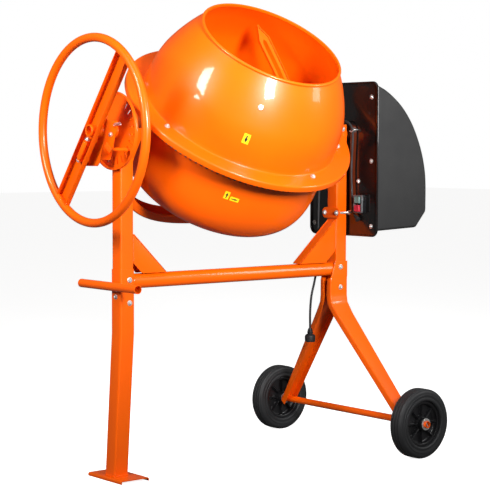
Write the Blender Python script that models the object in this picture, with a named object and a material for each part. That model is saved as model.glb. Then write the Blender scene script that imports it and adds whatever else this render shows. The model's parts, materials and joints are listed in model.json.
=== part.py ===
"""Tilting drum concrete mixer, modelled as separate parts with real joints.

Frame: +Z up, floor at Z = 0, X along the crossbar (handwheel at -X, motor at +X),
Y across the machine, with the drum mouth leaning to -Y.  Lengths are in metres.
"""
import math

import bmesh
import bpy
from mathutils import Matrix, Vector

# ---------------------------------------------------------------- driving sizes
GAP = 0.0003                      # clearance between pieces that touch
LEFT_X = -0.5420                  # left upright, centre
SPAN = 0.930                      # left upright to right upright
RIGHT_X = LEFT_X + SPAN
TUBE = 0.050                      # upright: square tube side
TUBE_WALL = 0.003
SLEEVE = 0.054                    # lower leg: square tube that slips over the upright
SLEEVE_WALL = 0.0016
BAR_Z = 0.634                     # crossbar height
BAR_R = 0.0242
TILT_Z = 1.116                    # height of the tilt axis
TILT = math.radians(35.7)         # drum axis from vertical, towards -Y
SPOKE_TURN = math.radians(37.4)   # handwheel spoke from vertical

# left leg and foot
SLEEVE_TOP = 0.674
LEG_BEND_Z = 0.461
LEG_FOOT_SHIFT = -0.026
FOOT_LEN_X = 0.108
FOOT_LEN_Y = 0.188
FOOT_CENTRE_X = LEFT_X - 0.019
FOOT_HEIGHT = 0.011
FOOT_SHEET = 0.004
HANDLE_R = 0.014
HANDLE_Z = 0.620
HANDLE_Y = (-0.142, 0.178)

# wheels and axle
AXLE_X = LEFT_X + 0.980
AXLE_R = 0.012
AXLE_HALF = 0.411
WHEEL_R = 0.120
WHEEL_Y = 0.369
WHEEL_HALF_WIDTH = 0.029
RIM_R = 0.078

# axle legs: sheet channel sections
LEG_SHEET = 0.003
LEG_FACE = TUBE / 2 + GAP         # inner face of the leg sheet, on the side of the upright

# handwheel and lock
HANDWHEEL_X = LEFT_X - 0.116
HANDWHEEL_R = 0.291
HANDWHEEL_TUBE_R = 0.014
SPOKE_WIDTH = 0.062
SPOKE_DEPTH = 0.021
SPOKE_SHEET = 0.0025
SPOKE_BACK_X = HANDWHEEL_X + 0.0110
SHAFT_R = 0.019
SHAFT_BORE = 0.015
BUSH_R = 0.0215
BUSH_BORE = 0.0194
HINGE_X = HANDWHEEL_X - 0.003
LOCK_RADIUS = 0.097
LOCK_STEP = math.radians(15)
LOCK_SLOTS = range(-6, 7)
SLOT_HALF_WIDTH = 0.0028
SLOT_REACH = (-0.014, 0.010)      # slot ends from the lock radius
DISC_R = 0.125
DISC_FACE_X = LEFT_X - 0.0293

# drum (radius, height along the drum axis measured from the tilt axis)
DRUM_X = LEFT_X + 0.450
DRUM_WALL = 0.002
FLANGE_R = 0.403
FLANGE_Z = 0.071
FLANGE_LIP_Z = 0.050
BODY_R = 0.342
KNUCKLE_Z = -0.080
BOTTOM_R = 0.140
BOTTOM_Z = -0.260
POT_CURVE = 0.77                  # below 1 the corner between wall and bottom is fuller
MOUTH_R = 0.246
MOUTH_Z = 0.351
BEAD_R = 0.0055

# yoke
YOKE_HALF = 0.405
YOKE_DROP = 0.353
YOKE_POWER = 2.75
YOKE_THICK = 0.030
YOKE_WIDE = 0.060
YOKE_SHEET = 0.003
YOKE_TOP = 0.030

# drive
PINION_R = 0.0350
PINION_X = (LEFT_X + 0.801, LEFT_X + 0.836)
DRIVE_R = 0.009
PULLEY_X = (LEFT_X + 0.986, LEFT_X + 1.002)
BIG_PULLEY_R = 0.095
MOTOR_Z = 0.885
MOTOR_R = 0.062
MOTOR_PULLEY_R = 0.024
BELT_THICK = 0.006

# motor housing
PANEL_X = LEFT_X + 0.962
PANEL_SHEET = 0.003
PANEL_HALF = 0.175
PANEL_Z = (0.752, 1.298)
COVER_HALF = 0.169
COVER_SHEET = 0.003
SWITCH_Y = -0.095
SWITCH_Z = (0.835, 0.899)

ORANGE = (0.80, 0.20, 0.010)
DARK_PLASTIC = (0.018, 0.018, 0.020)


# ---------------------------------------------------------------- helpers
def clear_scene():
    """Empty the scene without closing the file that the script runs from."""
    for obj in list(bpy.data.objects):
        bpy.data.objects.remove(obj, do_unlink=True)


def finish(name, colour, rough, metal):
    """Return one Principled material."""
    mat = bpy.data.materials.new(name)
    mat.use_nodes = True
    shader = mat.node_tree.nodes["Principled BSDF"]
    shader.inputs["Base Color"].default_value = (*colour, 1.0)
    shader.inputs["Roughness"].default_value = rough
    shader.inputs["Metallic"].default_value = metal
    mat.diffuse_color = (*colour, 1.0)
    return mat


def make(name, bm, mat, location=(0, 0, 0), rotation=(0, 0, 0), smooth=True):
    """Turn a bmesh into a named object with outward normals."""
    bmesh.ops.remove_doubles(bm, verts=bm.verts, dist=1e-6)
    bmesh.ops.recalc_face_normals(bm, faces=bm.faces)
    mesh = bpy.data.meshes.new(name)
    bm.to_mesh(mesh)
    bm.free()
    if smooth:
        mesh.shade_smooth()
        mesh.set_sharp_from_angle(angle=math.radians(40))
    mesh.materials.append(mat)
    obj = bpy.data.objects.new(name, mesh)
    obj.location = location
    obj.rotation_euler = rotation
    bpy.context.scene.collection.objects.link(obj)
    return obj


def add_box(bm, low, high):
    """Add an axis-aligned box between two corners."""
    centre = [(a + b) / 2 for a, b in zip(low, high)]
    size = [b - a for a, b in zip(low, high)]
    matrix = Matrix.Translation(centre) @ Matrix.Diagonal((*size, 1.0))
    bmesh.ops.create_cube(bm, size=1.0, matrix=matrix)


def box(name, low, high, mat, **place):
    bm = bmesh.new()
    add_box(bm, low, high)
    return make(name, bm, mat, smooth=False, **place)


def lathe(name, profile, mat, segments=32, **place):
    """Turn a closed (radius, height) outline about the local Z axis."""
    bm = bmesh.new()
    rings = []
    for radius, height in profile:
        if radius < 1e-7:
            rings.append([bm.verts.new((0, 0, height))])
            continue
        ring = []
        for k in range(segments):
            a = 2 * math.pi * k / segments
            ring.append(bm.verts.new((radius * math.cos(a), radius * math.sin(a), height)))
        rings.append(ring)
    for one, two in zip(rings, rings[1:] + rings[:1]):
        if len(one) == 1 and len(two) == 1:
            continue
        for k in range(segments):
            n = (k + 1) % segments
            if len(one) == 1:
                bm.faces.new((one[0], two[k], two[n]))
            elif len(two) == 1:
                bm.faces.new((one[k], one[n], two[0]))
            else:
                bm.faces.new((one[k], one[n], two[n], two[k]))
    return make(name, bm, mat, **place)


def pipe_profile(outer, inner, low, high):
    return [(outer, low), (outer, high), (inner, high), (inner, low)]


def rod_profile(radius, low, high):
    return [(0, low), (radius, low), (radius, high), (0, high)]


def along_x(x=0.0, y=0.0, z=0.0):
    """Placement that lays a turned piece's axis along +X."""
    return {"location": (x, y, z), "rotation": (0, math.pi / 2, 0)}


def along_y(x=0.0, y=0.0, z=0.0):
    """Placement that lays a turned piece's axis along +Y."""
    return {"location": (x, y, z), "rotation": (-math.pi / 2, 0, 0)}


def prism(name, outline, axis, low, high, mat, **place):
    """Extrude a flat outline along one axis; the outline gives the other two coordinates."""
    index = "XYZ".index(axis)
    bm = bmesh.new()

    def point(pair, level):
        values = list(pair)
        values.insert(index, level)
        return bm.verts.new(values)

    bottom = [point(p, low) for p in outline]
    top = [point(p, high) for p in outline]
    bm.faces.new(bottom)
    bm.faces.new(list(reversed(top)))
    count = len(outline)
    for k in range(count):
        n = (k + 1) % count
        bm.faces.new((bottom[k], bottom[n], top[n], top[k]))
    return make(name, bm, mat, **place)


def loft(name, sections, mat, **place):
    """Skin matching cross-sections, with both ends capped."""
    bm = bmesh.new()
    loops = [[bm.verts.new(p) for p in section] for section in sections]
    count = len(loops[0])
    for one, two in zip(loops, loops[1:]):
        for k in range(count):
            n = (k + 1) % count
            bm.faces.new((one[k], one[n], two[n], two[k]))
    bm.faces.new(loops[0])
    bm.faces.new(loops[-1])
    return make(name, bm, mat, **place)


def hollow_loft(name, sections, mat):
    """Skin pairs of outer and inner loops into an open-ended tube."""
    bm = bmesh.new()
    pairs = []
    for outer, inner in sections:
        pairs.append(([bm.verts.new(p) for p in outer], [bm.verts.new(p) for p in inner]))
    count = len(pairs[0][0])
    for (o1, i1), (o2, i2) in zip(pairs, pairs[1:]):
        for k in range(count):
            n = (k + 1) % count
            bm.faces.new((o1[k], o1[n], o2[n], o2[k]))
            bm.faces.new((i1[n], i1[k], i2[k], i2[n]))
    for outer, inner in (pairs[0], pairs[-1]):
        for k in range(count):
            n = (k + 1) % count
            bm.faces.new((outer[k], outer[n], inner[n], inner[k]))
    return make(name, bm, mat, smooth=False)


def rounded_rectangle(a0, a1, b0, b1, radius, steps=4):
    """Outline of a rectangle with round corners, anticlockwise."""
    points = []
    corners = [(a1 - radius, b0 + radius, -90), (a1 - radius, b1 - radius, 0),
               (a0 + radius, b1 - radius, 90), (a0 + radius, b0 + radius, 180)]
    for ca, cb, start in corners:
        for k in range(steps + 1):
            angle = math.radians(start + 90 * k / steps)
            points.append((ca + radius * math.cos(angle), cb + radius * math.sin(angle)))
    return points


def cut(target, cutter):
    """Take the cutter's volume out of the target with an exact Boolean."""
    cutter.hide_render = True
    cutter.display_type = "WIRE"
    change = target.modifiers.new("cut", "BOOLEAN")
    change.operation = "DIFFERENCE"
    change.solver = "EXACT"
    change.object = cutter


def hole(target, radius, low, high, place, segments=24):
    """Bore a round hole along the placement's local Z axis."""
    cutter = lathe("cutter", rod_profile(radius, low, high), STEEL, segments=segments, **place)
    cut(target, cutter)


def pivot(name, location, children):
    """Parent pieces to an empty on their joint axis, leaving them where they are."""
    empty = bpy.data.objects.new(name, None)
    empty.location = location
    bpy.context.scene.collection.objects.link(empty)
    for child in children:
        child.parent = empty
        child.matrix_parent_inverse = Matrix.Translation(location).inverted()
    return empty


def square(cx, cy, z, side):
    h = side / 2
    return [(cx - h, cy - h, z), (cx + h, cy - h, z), (cx + h, cy + h, z), (cx - h, cy + h, z)]


def bolt_profile(radius, head_radius, head, low, high, nut=True):
    """A bolt from low to high with its head below low, and a nut beyond high."""
    points = [(0, low - head), (head_radius, low - head), (head_radius, low), (radius, low)]
    if nut:
        points += [(radius, high), (head_radius, high), (head_radius, high + head), (0, high + head)]
    else:
        points += [(radius, high), (0, high)]
    return points


# ---------------------------------------------------------------- frame
def build_left_side():
    """Left upright, sleeve leg, foot, handle and their bolts."""
    inner = TUBE - 2 * TUBE_WALL
    top = TILT_Z + 0.030
    upright = hollow_loft("left_upright", [
        (square(LEFT_X, 0, z, TUBE), square(LEFT_X, 0, z, inner)) for z in (0.500, top)], PAINT)
    hole(upright, BUSH_R + GAP, -0.05, 0.05, along_x(LEFT_X, 0, TILT_Z), 20)

    bore = SLEEVE - 2 * SLEEVE_WALL
    stations = [(LEFT_X, SLEEVE_TOP), (LEFT_X, LEG_BEND_Z),
                (LEFT_X + LEG_FOOT_SHIFT, FOOT_HEIGHT + GAP)]
    leg = hollow_loft("left_leg", [
        (square(x, 0, z, SLEEVE), square(x, 0, z, bore)) for x, z in stations], PAINT)

    half = FOOT_LEN_X / 2
    low_y = -FOOT_LEN_Y / 2
    outline = [(-half, 0), (-half + FOOT_SHEET, 0), (-half + FOOT_SHEET, FOOT_HEIGHT - FOOT_SHEET),
               (half - FOOT_SHEET, FOOT_HEIGHT - FOOT_SHEET), (half - FOOT_SHEET, 0), (half, 0),
               (half, FOOT_HEIGHT), (-half, FOOT_HEIGHT)]
    outline = [(FOOT_CENTRE_X + x, z) for x, z in outline]
    prism_xz("foot_plate", outline, low_y, low_y + FOOT_LEN_Y, PAINT)

    handle_x = LEFT_X - SLEEVE / 2 - HANDLE_R - GAP
    lathe("transport_handle", pipe_profile(HANDLE_R, HANDLE_R - 0.002, *HANDLE_Y), PAINT, 20,
          **along_y(handle_x, 0, HANDLE_Z))

    reach = SLEEVE / 2 + GAP
    for level, z in (("upper", 0.640), ("lower", 0.566)):
        place = along_y(LEFT_X + 0.008, 0, z)
        for wall in (upright, leg):
            hole(wall, 0.0046, -0.05, 0.05, place, 12)
        lathe("sleeve_bolt_" + level, bolt_profile(0.004, 0.0075, 0.006, -reach, reach), STEEL, 12,
              **place)
    return upright


def prism_xz(name, outline, low_y, high_y, mat, **place):
    """Extrude an (x, z) outline along Y."""
    return prism(name, outline, "Y", low_y, high_y, mat, **place)


def build_gusset(name, corner_x, side, rise, reach):
    """Folded brace: two triangular cheeks joined by a sloping web, with an open inner corner."""
    low_z = BAR_Z + BAR_R + GAP
    half = 0.020
    sheet = 0.003
    notch_x = reach * 0.27
    notch_z = rise * 0.27
    cheek = [(0, notch_z), (notch_x, 0), (reach, 0), (0.004, rise), (0, rise)]
    outline = [(corner_x + side * x, low_z + z) for x, z in cheek]
    brace = prism_xz(name, outline, -half, half, PAINT)
    slope = sheet * math.hypot(reach, rise)
    inner = [(-0.01, -0.01), (reach - slope / rise - 0.001, -0.01),
             (reach - slope / rise - 0.001, 0.0), (-0.01, rise - slope / reach)]
    inner_outline = [(corner_x + side * x, low_z + z) for x, z in inner]
    cut(brace, prism_xz("cutter", inner_outline, -half + sheet, half - sheet, PAINT))
    return brace


def build_crossbar():
    start = LEFT_X + SLEEVE / 2 + GAP
    end = RIGHT_X - TUBE / 2 - GAP
    lathe("crossbar", pipe_profile(BAR_R, BAR_R - 0.0025, start, end), PAINT, 20,
          **along_x(0, 0, BAR_Z))
    build_gusset("left_gusset", LEFT_X + TUBE / 2 + 0.0025, 1, 0.128, 0.134)
    build_gusset("right_gusset", RIGHT_X - TUBE / 2 - GAP, -1, 0.150, 0.168)


def build_right_side():
    """Right upright with its pivot bore and the clamp plate."""
    inner = TUBE - 2 * TUBE_WALL
    upright = hollow_loft("right_upright", [
        (square(RIGHT_X, 0, z, TUBE), square(RIGHT_X, 0, z, inner))
        for z in (0.540, TILT_Z + 0.032)], PAINT)
    hole(upright, BUSH_R + GAP, -0.05, 0.05, along_x(RIGHT_X, 0, TILT_Z), 20)

    face = RIGHT_X - TUBE / 2 - GAP
    plate = 0.005
    outline = rounded_rectangle(-0.0455, 0.0455, 0.8155, 0.8545, 0.019, 6)
    clamp = prism("clamp_plate", outline, "X", face - plate, face, PAINT)
    return upright, clamp


def build_clamp_bolts(plate, panel):
    """Two long bolts that pass beside the upright and hold the motor panel."""
    start = RIGHT_X - TUBE / 2 - 0.005 - 2 * GAP
    end = PANEL_X + PANEL_SHEET + GAP
    for side, y in (("near", -0.031), ("far", 0.031)):
        place = along_x(0, y, 0.835)
        for piece in (plate, panel):
            hole(piece, 0.0046, RIGHT_X - 0.06, PANEL_X + 0.05, place, 12)
        lathe("clamp_bolt_" + side, bolt_profile(0.004, 0.0075, 0.006, start, end), STEEL, 12,
              **place)


def leg_section(x0, x1, y, z, depth, into):
    """U outline of a folded leg: web from x0 to x1, flanges of one depth along `into`."""
    sheet = LEG_SHEET
    away = Vector((0, into[0], into[1]))
    base = Vector((0, y, z))

    def at(x, d):
        p = base + away * d
        return (x, p.y, p.z)

    return [at(x0, 0), at(x1, 0), at(x1, depth), at(x1 - sheet, depth), at(x1 - sheet, sheet),
            at(x0 + sheet, sheet), at(x0 + sheet, depth), at(x0, depth)]


def build_axle_legs(upright):
    """Two folded legs, bolted on both sides of the right upright and splayed to the axle."""
    outer = LEG_FACE + LEG_SHEET
    left = RIGHT_X - 0.054
    right = RIGHT_X + 0.028
    top_left = RIGHT_X - 0.031
    drop = Vector((0.300, 0.420)).normalized()
    legs = []
    for side, sign in (("near", -1), ("far", 1)):
        into_top = (-sign, 0)
        into_low = (-sign * drop.y, -drop.x)
        mid = Vector((into_top[0] + into_low[0], into_low[1])).normalized()
        sections = [
            leg_section(top_left, right, sign * outer, 0.662, LEG_SHEET + 0.0004, into_top),
            leg_section(left + 0.004, right, sign * outer, 0.6060, LEG_SHEET + 0.0004, into_top),
            leg_section(left, right, sign * outer, 0.596, 0.022, into_top),
            leg_section(left, right, sign * outer, 0.522, 0.022, (mid.x, mid.y)),
            leg_section(AXLE_X - 0.025, AXLE_X + 0.025, sign * 0.3335, 0.1150, 0.026, into_low)]
        leg = loft(side + "_axle_leg", sections, PAINT, smooth=False)
        hole(leg, AXLE_R + GAP, -0.5, 0.5, along_y(AXLE_X, 0, WHEEL_R), 20)
        legs.append(leg)
    reach = outer + GAP
    for level, z in (("upper", 0.641), ("lower", 0.569)):
        place = along_y(RIGHT_X - 0.006, 0, z)
        for wall in (upright, *legs):
            hole(wall, 0.0046, -0.06, 0.06, place, 12)
        lathe("leg_bolt_" + level, bolt_profile(0.004, 0.0080, 0.006, -reach, reach), STEEL, 12,
              **place)


def build_wheels():
    """Axle, two tyres on plastic rims, washers and cotter pins."""
    lathe("axle", pipe_profile(AXLE_R, AXLE_R - 0.0025, -AXLE_HALF, AXLE_HALF), PAINT, 24,
          **along_y(AXLE_X, 0, WHEEL_R))
    half = WHEEL_HALF_WIDTH
    shoulder = half - 0.010
    tyre = [(RIM_R + GAP, -half + 0.008), (RIM_R + 0.012, -half), (WHEEL_R - 0.013, -half + 0.001),
            (WHEEL_R - 0.003, -shoulder), (WHEEL_R, -shoulder / 2), (WHEEL_R, shoulder / 2),
            (WHEEL_R - 0.003, shoulder), (WHEEL_R - 0.013, half - 0.001), (RIM_R + 0.012, half),
            (RIM_R + GAP, half - 0.008)]
    bore = AXLE_R + 0.0005
    rim = [(bore, -half - 0.003), (0.021, -half - 0.003), (0.024, -0.012), (0.064, -0.012),
           (0.068, -half + 0.009), (RIM_R, -half + 0.009), (RIM_R, half - 0.009),
           (0.068, half - 0.009), (0.064, 0.012), (0.024, 0.012), (0.021, half + 0.003),
           (bore, half + 0.003)]
    wheels = {}
    for side, sign in (("near", -1), ("far", 1)):
        place = along_y(AXLE_X, sign * WHEEL_Y, WHEEL_R)
        wheels[side] = [lathe(side + "_tyre", tyre, RUBBER, 24, **place),
                        lathe(side + "_wheel_rim", rim, PLASTIC, 24, **place)]
        start = WHEEL_Y + half + 0.003 + GAP
        ends = sorted((sign * start, sign * (start + 0.0020)))
        lathe(side + "_washer", pipe_profile(0.020, AXLE_R + GAP, *ends), STEEL, 16,
              **along_y(AXLE_X, 0, WHEEL_R))
        pin_y = sign * (start + 0.0020 + 0.0032)
        lathe(side + "_cotter_pin", rod_profile(0.0022, -0.020, 0.022), STEEL, 8,
              location=(AXLE_X, pin_y, WHEEL_R), rotation=(0, math.radians(-30), 0))
        cut(bpy.data.objects["axle"],
            lathe("cutter", rod_profile(0.0027, -0.03, 0.03), STEEL, 8,
                  location=(AXLE_X, pin_y, WHEEL_R), rotation=(0, math.radians(-30), 0)))
        pivot(side + "_wheel_axis", (AXLE_X, sign * WHEEL_Y, WHEEL_R), wheels[side])


# ---------------------------------------------------------------- tilt gear
def on_tilt_axis(x, turn):
    return {"location": (x, 0, TILT_Z), "rotation": (turn, 0, 0)}


def yoke_path(count=21):
    """Centre line of the bow in (x, depth), a squared-off half ellipse from arm to arm."""
    points = []
    for k in range(count):
        a = math.pi * k / (count - 1)
        c = math.cos(a)
        s = math.sin(a)
        x = -math.copysign(abs(c) ** (2 / YOKE_POWER), c) * YOKE_HALF
        points.append((x, YOKE_DROP * s ** (2 / YOKE_POWER)))
    points[0] = (-YOKE_HALF, -YOKE_TOP)
    points[-1] = (YOKE_HALF, -YOKE_TOP)
    return points


def yoke_section(p, outward):
    """Channel section at one point of the bow: web on the outside, flanges towards the drum."""
    half = YOKE_WIDE / 2
    web = p + outward * YOKE_THICK / 2
    inside = p + outward * (YOKE_THICK / 2 - YOKE_SHEET)
    edge = p - outward * YOKE_THICK / 2
    outline = [(web, -half), (web, half), (edge, half), (edge, half - YOKE_SHEET),
               (inside, half - YOKE_SHEET), (inside, -half + YOKE_SHEET), (edge, -half + YOKE_SHEET),
               (edge, -half)]
    return [(q.x, y, -q.y) for q, y in outline]


def build_yoke():
    """The bow that carries the drum, with its right stub; it turns about the tilt axis."""
    path = [Vector(p) for p in yoke_path()]
    sections = []
    for k, p in enumerate(path):
        before = path[max(k - 1, 0)]
        after = path[min(k + 1, len(path) - 1)]
        run = (after - before).normalized()
        outward = Vector((-run.y, run.x))
        sections.append(yoke_section(p, outward))
    yoke = loft("yoke", sections, PAINT, **on_tilt_axis(DRUM_X, TILT))
    hole(yoke, 0.0160, -0.45, -0.30, on_tilt_axis(DRUM_X, TILT), 24)
    hole(yoke, 0.0115, 0.30, 0.45, along_x(DRUM_X, 0, TILT_Z), 20)

    arm_face = DRUM_X + YOKE_HALF + YOKE_THICK / 2
    stub = lathe("yoke_stub", pipe_profile(SHAFT_R, 0.0105, arm_face + GAP, RIGHT_X + 0.0285), STEEL,
                 20, **along_x(0, 0, TILT_Z))
    lathe("right_pivot_bush", pipe_profile(BUSH_R, BUSH_BORE, RIGHT_X - 0.0340, RIGHT_X + 0.0290),
          PAINT, 20, **along_x(0, 0, TILT_Z))
    lathe("left_pivot_bush", pipe_profile(BUSH_R, BUSH_BORE, LEFT_X - 0.0360, LEFT_X + 0.0285),
          PAINT, 20, **along_x(0, 0, TILT_Z))
    bearing = lathe("spindle_bearing", pipe_profile(0.0255, 0.0160, -YOKE_DROP - YOKE_THICK / 2 + 0.0042,
                                                    BOTTOM_Z - 0.0105),
                    STEEL, 20, **on_tilt_axis(DRUM_X, TILT))
    arm_left = DRUM_X - YOKE_HALF - YOKE_THICK / 2
    shaft = lathe("tilt_shaft", pipe_profile(SHAFT_R, SHAFT_BORE, HANDWHEEL_X - 0.014, arm_left - GAP),
                  PAINT, 20, **along_x(0, 0, TILT_Z))
    return [yoke, stub, bearing, shaft]


def on_lock_axis(turn):
    return {"location": (LEFT_X - TUBE / 2, 0, TILT_Z), "rotation": (turn, 0, 0)}


def build_lock_disc():
    """Dished disc on the left upright, with radial slots for the handwheel's tooth."""
    sheet = 0.004
    face = -sheet
    profile = [(BUSH_R + GAP, 0), (DISC_R - 0.001, 0), (DISC_R, face), (DISC_R, face - 0.0095),
               (DISC_R - 0.004, face - 0.0095), (DISC_R - 0.0055, face), (BUSH_R + GAP, face)]
    place = along_x(LEFT_X - TUBE / 2 - GAP, 0, TILT_Z)
    disc = lathe("lock_disc", profile, PAINT, 32, **place)
    for k in LOCK_SLOTS:
        turn = SPOKE_TURN + math.pi / 2 + k * LOCK_STEP
        low = (-0.02, -SLOT_HALF_WIDTH, LOCK_RADIUS + SLOT_REACH[0])
        high = (0.02, SLOT_HALF_WIDTH, LOCK_RADIUS + SLOT_REACH[1])
        cut(disc, box("cutter", low, high, PAINT, **on_lock_axis(turn)))
    return disc


def build_handwheel():
    """Rim, channel spoke, hinge barrel and tooth; they rock on a bolt held by the hub bracket."""
    centre = (HANDWHEEL_X, 0, TILT_Z)
    rim_profile = []
    for k in range(8):
        a = 2 * math.pi * k / 8
        rim_profile.append((HANDWHEEL_R + HANDWHEEL_TUBE_R * math.cos(a), HANDWHEEL_TUBE_R * math.sin(a)))
    rim = lathe("handwheel_rim", rim_profile, PAINT, 40, location=centre, rotation=(0, math.pi / 2, 0))

    back = SPOKE_BACK_X - HANDWHEEL_X
    half = SPOKE_WIDTH / 2
    front = back - SPOKE_DEPTH
    sheet = SPOKE_SHEET
    channel = [(back, -half), (back, half), (front, half), (front, half - sheet),
               (back - sheet, half - sheet), (back - sheet, -half + sheet), (front, -half + sheet),
               (front, -half)]
    reach = HANDWHEEL_R - HANDWHEEL_TUBE_R - 0.0036
    turned = {"location": centre, "rotation": (SPOKE_TURN, 0, 0)}
    spoke = prism("handwheel_spoke", channel, "Z", -reach, reach, PAINT, **turned)
    hole(spoke, SHAFT_R + 0.0025, -0.04, 0.04, along_x(*centre), 20)

    lugs = ((-0.044, -0.036), (-0.117, -0.109))
    bracket_front = 0.0300
    bracket_back = bracket_front + 0.004
    outline = [(-0.042, 0.036), (0.036, 0.044), (0.084, -0.056), (0.084, -0.112), (0.018, -0.112),
               (0.003, -0.098)]
    bracket = prism("hub_bracket", outline, "X", bracket_front, bracket_back, PAINT, location=centre)
    hole(bracket, SHAFT_R + GAP, -0.02, 0.06, along_x(*centre), 20)
    for low, high in lugs:
        lug = box("lug", (HINGE_X - HANDWHEEL_X - 0.006, -0.009, low),
                  (bracket_front + 0.002, 0.009, high), PAINT, **turned)
        lug.hide_render = True
        lug.display_type = "WIRE"
        join = bracket.modifiers.new("lug", "BOOLEAN")
        join.operation = "UNION"
        join.solver = "EXACT"
        join.object = lug
        slot = box("cutter", (back - 0.01, -0.0125, low - 0.003), (back + 0.01, 0.0125, high + 0.003),
                   PAINT, **turned)
        cut(spoke, slot)
    bolt_place = {"location": (HINGE_X, 0, TILT_Z), "rotation": (SPOKE_TURN, 0, 0)}
    hole(bracket, 0.0045, -0.15, -0.02, bolt_place, 12)
    ends = (lugs[1][0] - GAP, lugs[0][1] + GAP)
    bolt = lathe("hinge_bolt", bolt_profile(0.0040, 0.0072, 0.0060, *ends), STEEL, 12, **bolt_place)
    barrel = lathe("hinge_barrel", pipe_profile(0.0108, 0.0046, lugs[1][1] + 0.001, lugs[0][0] - 0.001),
                   PAINT, 20, **bolt_place)

    tooth_face = DISC_FACE_X - HANDWHEEL_X - 0.0006
    arm_front = back + 0.001
    tooth = box("lock_tooth", (arm_front, -LOCK_RADIUS - 0.012, -0.016),
                (arm_front + 0.004, -half + 0.006, 0.016), PAINT, **turned)
    peg = box("peg", (arm_front + 0.002, -LOCK_RADIUS - 0.007, -0.0018),
              (tooth_face, -LOCK_RADIUS + 0.007, 0.0018), PAINT, **turned)
    peg.hide_render = True
    peg.display_type = "WIRE"
    join = tooth.modifiers.new("peg", "BOOLEAN")
    join.operation = "UNION"
    join.solver = "EXACT"
    join.object = peg
    pivot("handwheel_hinge_axis", (HINGE_X, 0, TILT_Z), [rim, spoke, barrel, tooth])
    return [bracket, bolt]


# ---------------------------------------------------------------- drum
def upper_outline(offset):
    """Cone of the drum from the flange to the mouth, moved inwards by an offset."""
    route = [(0.3415, FLANGE_Z), (0.3400, 0.120), (0.3240, 0.198), (0.2890, 0.275),
             (0.2430, MOUTH_Z - 0.002)]
    return [(r - offset, z) for r, z in route]


def lower_outline(offset):
    """Cylinder of the drum that rounds into a dished bottom, moved inwards by an offset."""
    points = [(BODY_R - offset, FLANGE_Z - 0.0033 - GAP)]
    steps = 6
    for k in range(steps + 1):
        a = math.pi / 2 * k / steps
        r = BOTTOM_R + (BODY_R - BOTTOM_R) * max(math.cos(a), 0.0) ** POT_CURVE
        z = KNUCKLE_Z + (BOTTOM_Z - KNUCKLE_Z) * math.sin(a) ** POT_CURVE
        points.append((r - offset, z + offset * math.sin(a)))
    return points


def build_drum():
    """Two shells, flange, ring gear, blades and spindle; they spin about the drum axis."""
    place = on_tilt_axis(DRUM_X, TILT)
    outer = upper_outline(0)
    inner = upper_outline(DRUM_WALL)
    bead = []
    for k in range(5):
        a = math.radians(-120 + 270 * k / 4)
        bead.append((MOUTH_R - BEAD_R + BEAD_R * math.cos(a), MOUTH_Z + BEAD_R * math.sin(a)))
    flange = [(inner[0][0], FLANGE_Z - 0.003), (FLANGE_R - 0.003, FLANGE_Z - 0.003),
              (FLANGE_R - 0.003, FLANGE_LIP_Z), (FLANGE_R, FLANGE_LIP_Z), (FLANGE_R, FLANGE_Z - 0.001),
              (FLANGE_R - 0.002, FLANGE_Z)]
    upper = lathe("drum_upper", flange + outer[:-1] + bead + list(reversed(inner[1:-1])), PAINT, 32,
                  **place)

    shell = lower_outline(0) + list(reversed(lower_outline(DRUM_WALL)))
    shell_bottom = shell[:8] + [(0.0165, BOTTOM_Z), (0.0165, BOTTOM_Z + DRUM_WALL)] + shell[8:]
    lower = lathe("drum_lower", shell_bottom, PAINT, 32, **place)

    gear_top = FLANGE_Z - 0.003 - GAP
    ring = lathe("ring_gear", [
        (BODY_R + 0.0008, gear_top), (BODY_R + 0.0008, gear_top - 0.006), (0.3560, gear_top - 0.006),
        (0.3510, PINION_R + 0.0008), (0.3860, PINION_R + 0.0008), (0.3860, PINION_R + 0.0088),
        (0.3640, PINION_R + 0.0098), (0.3640, gear_top)], IRON, 32, **place)

    below = -YOKE_DROP - YOKE_THICK / 2 - 0.0012
    spindle = lathe("drum_spindle", [
        (0, below - 0.0160), (0.0110, below - 0.0160), (0.0110, below - 0.0120),
        (0.0190, below - 0.0120), (0.0190, below), (0.0150, below), (0.0150, BOTTOM_Z - 0.0095),
        (0.0600, BOTTOM_Z - 0.0095), (0.0600, BOTTOM_Z - GAP), (0.0150, BOTTOM_Z - GAP),
        (0.0150, BOTTOM_Z + 0.012), (0, BOTTOM_Z + 0.012)], STEEL, 20, **place)
    blades = [build_blade("blade_one", 0), build_blade("blade_two", math.pi)]
    return [upper, lower, ring, spindle, *blades]


def build_blade(name, turn):
    """Slotted mixing blade that runs from the cone near the mouth down to the body wall."""
    width = 0.022
    sheet = 0.0022
    route = [(0.104, 0.212, 0.294), (0.138, 0.140, 0.238), (0.168, 0.071, 0.186),
             (0.210, -0.065, 0.090), (0.240, -0.190, 0.000)]
    across = Vector((0.85, 0.20, 0.35)).normalized()
    spin = Matrix.Rotation(turn, 4, "Z")
    path = [Vector(p) for p in route]
    sections = []
    for k, p in enumerate(path):
        run = (path[min(k + 1, len(path) - 1)] - path[max(k - 1, 0)]).normalized()
        normal = run.cross(across).normalized()
        wide = normal.cross(run).normalized()
        corners = [p + wide * width + normal * sheet, p - wide * width + normal * sheet,
                   p - wide * width - normal * sheet, p + wide * width - normal * sheet]
        sections.append([tuple(spin @ c) for c in corners])
    return loft(name, sections, PAINT, **on_tilt_axis(DRUM_X, TILT))


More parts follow.
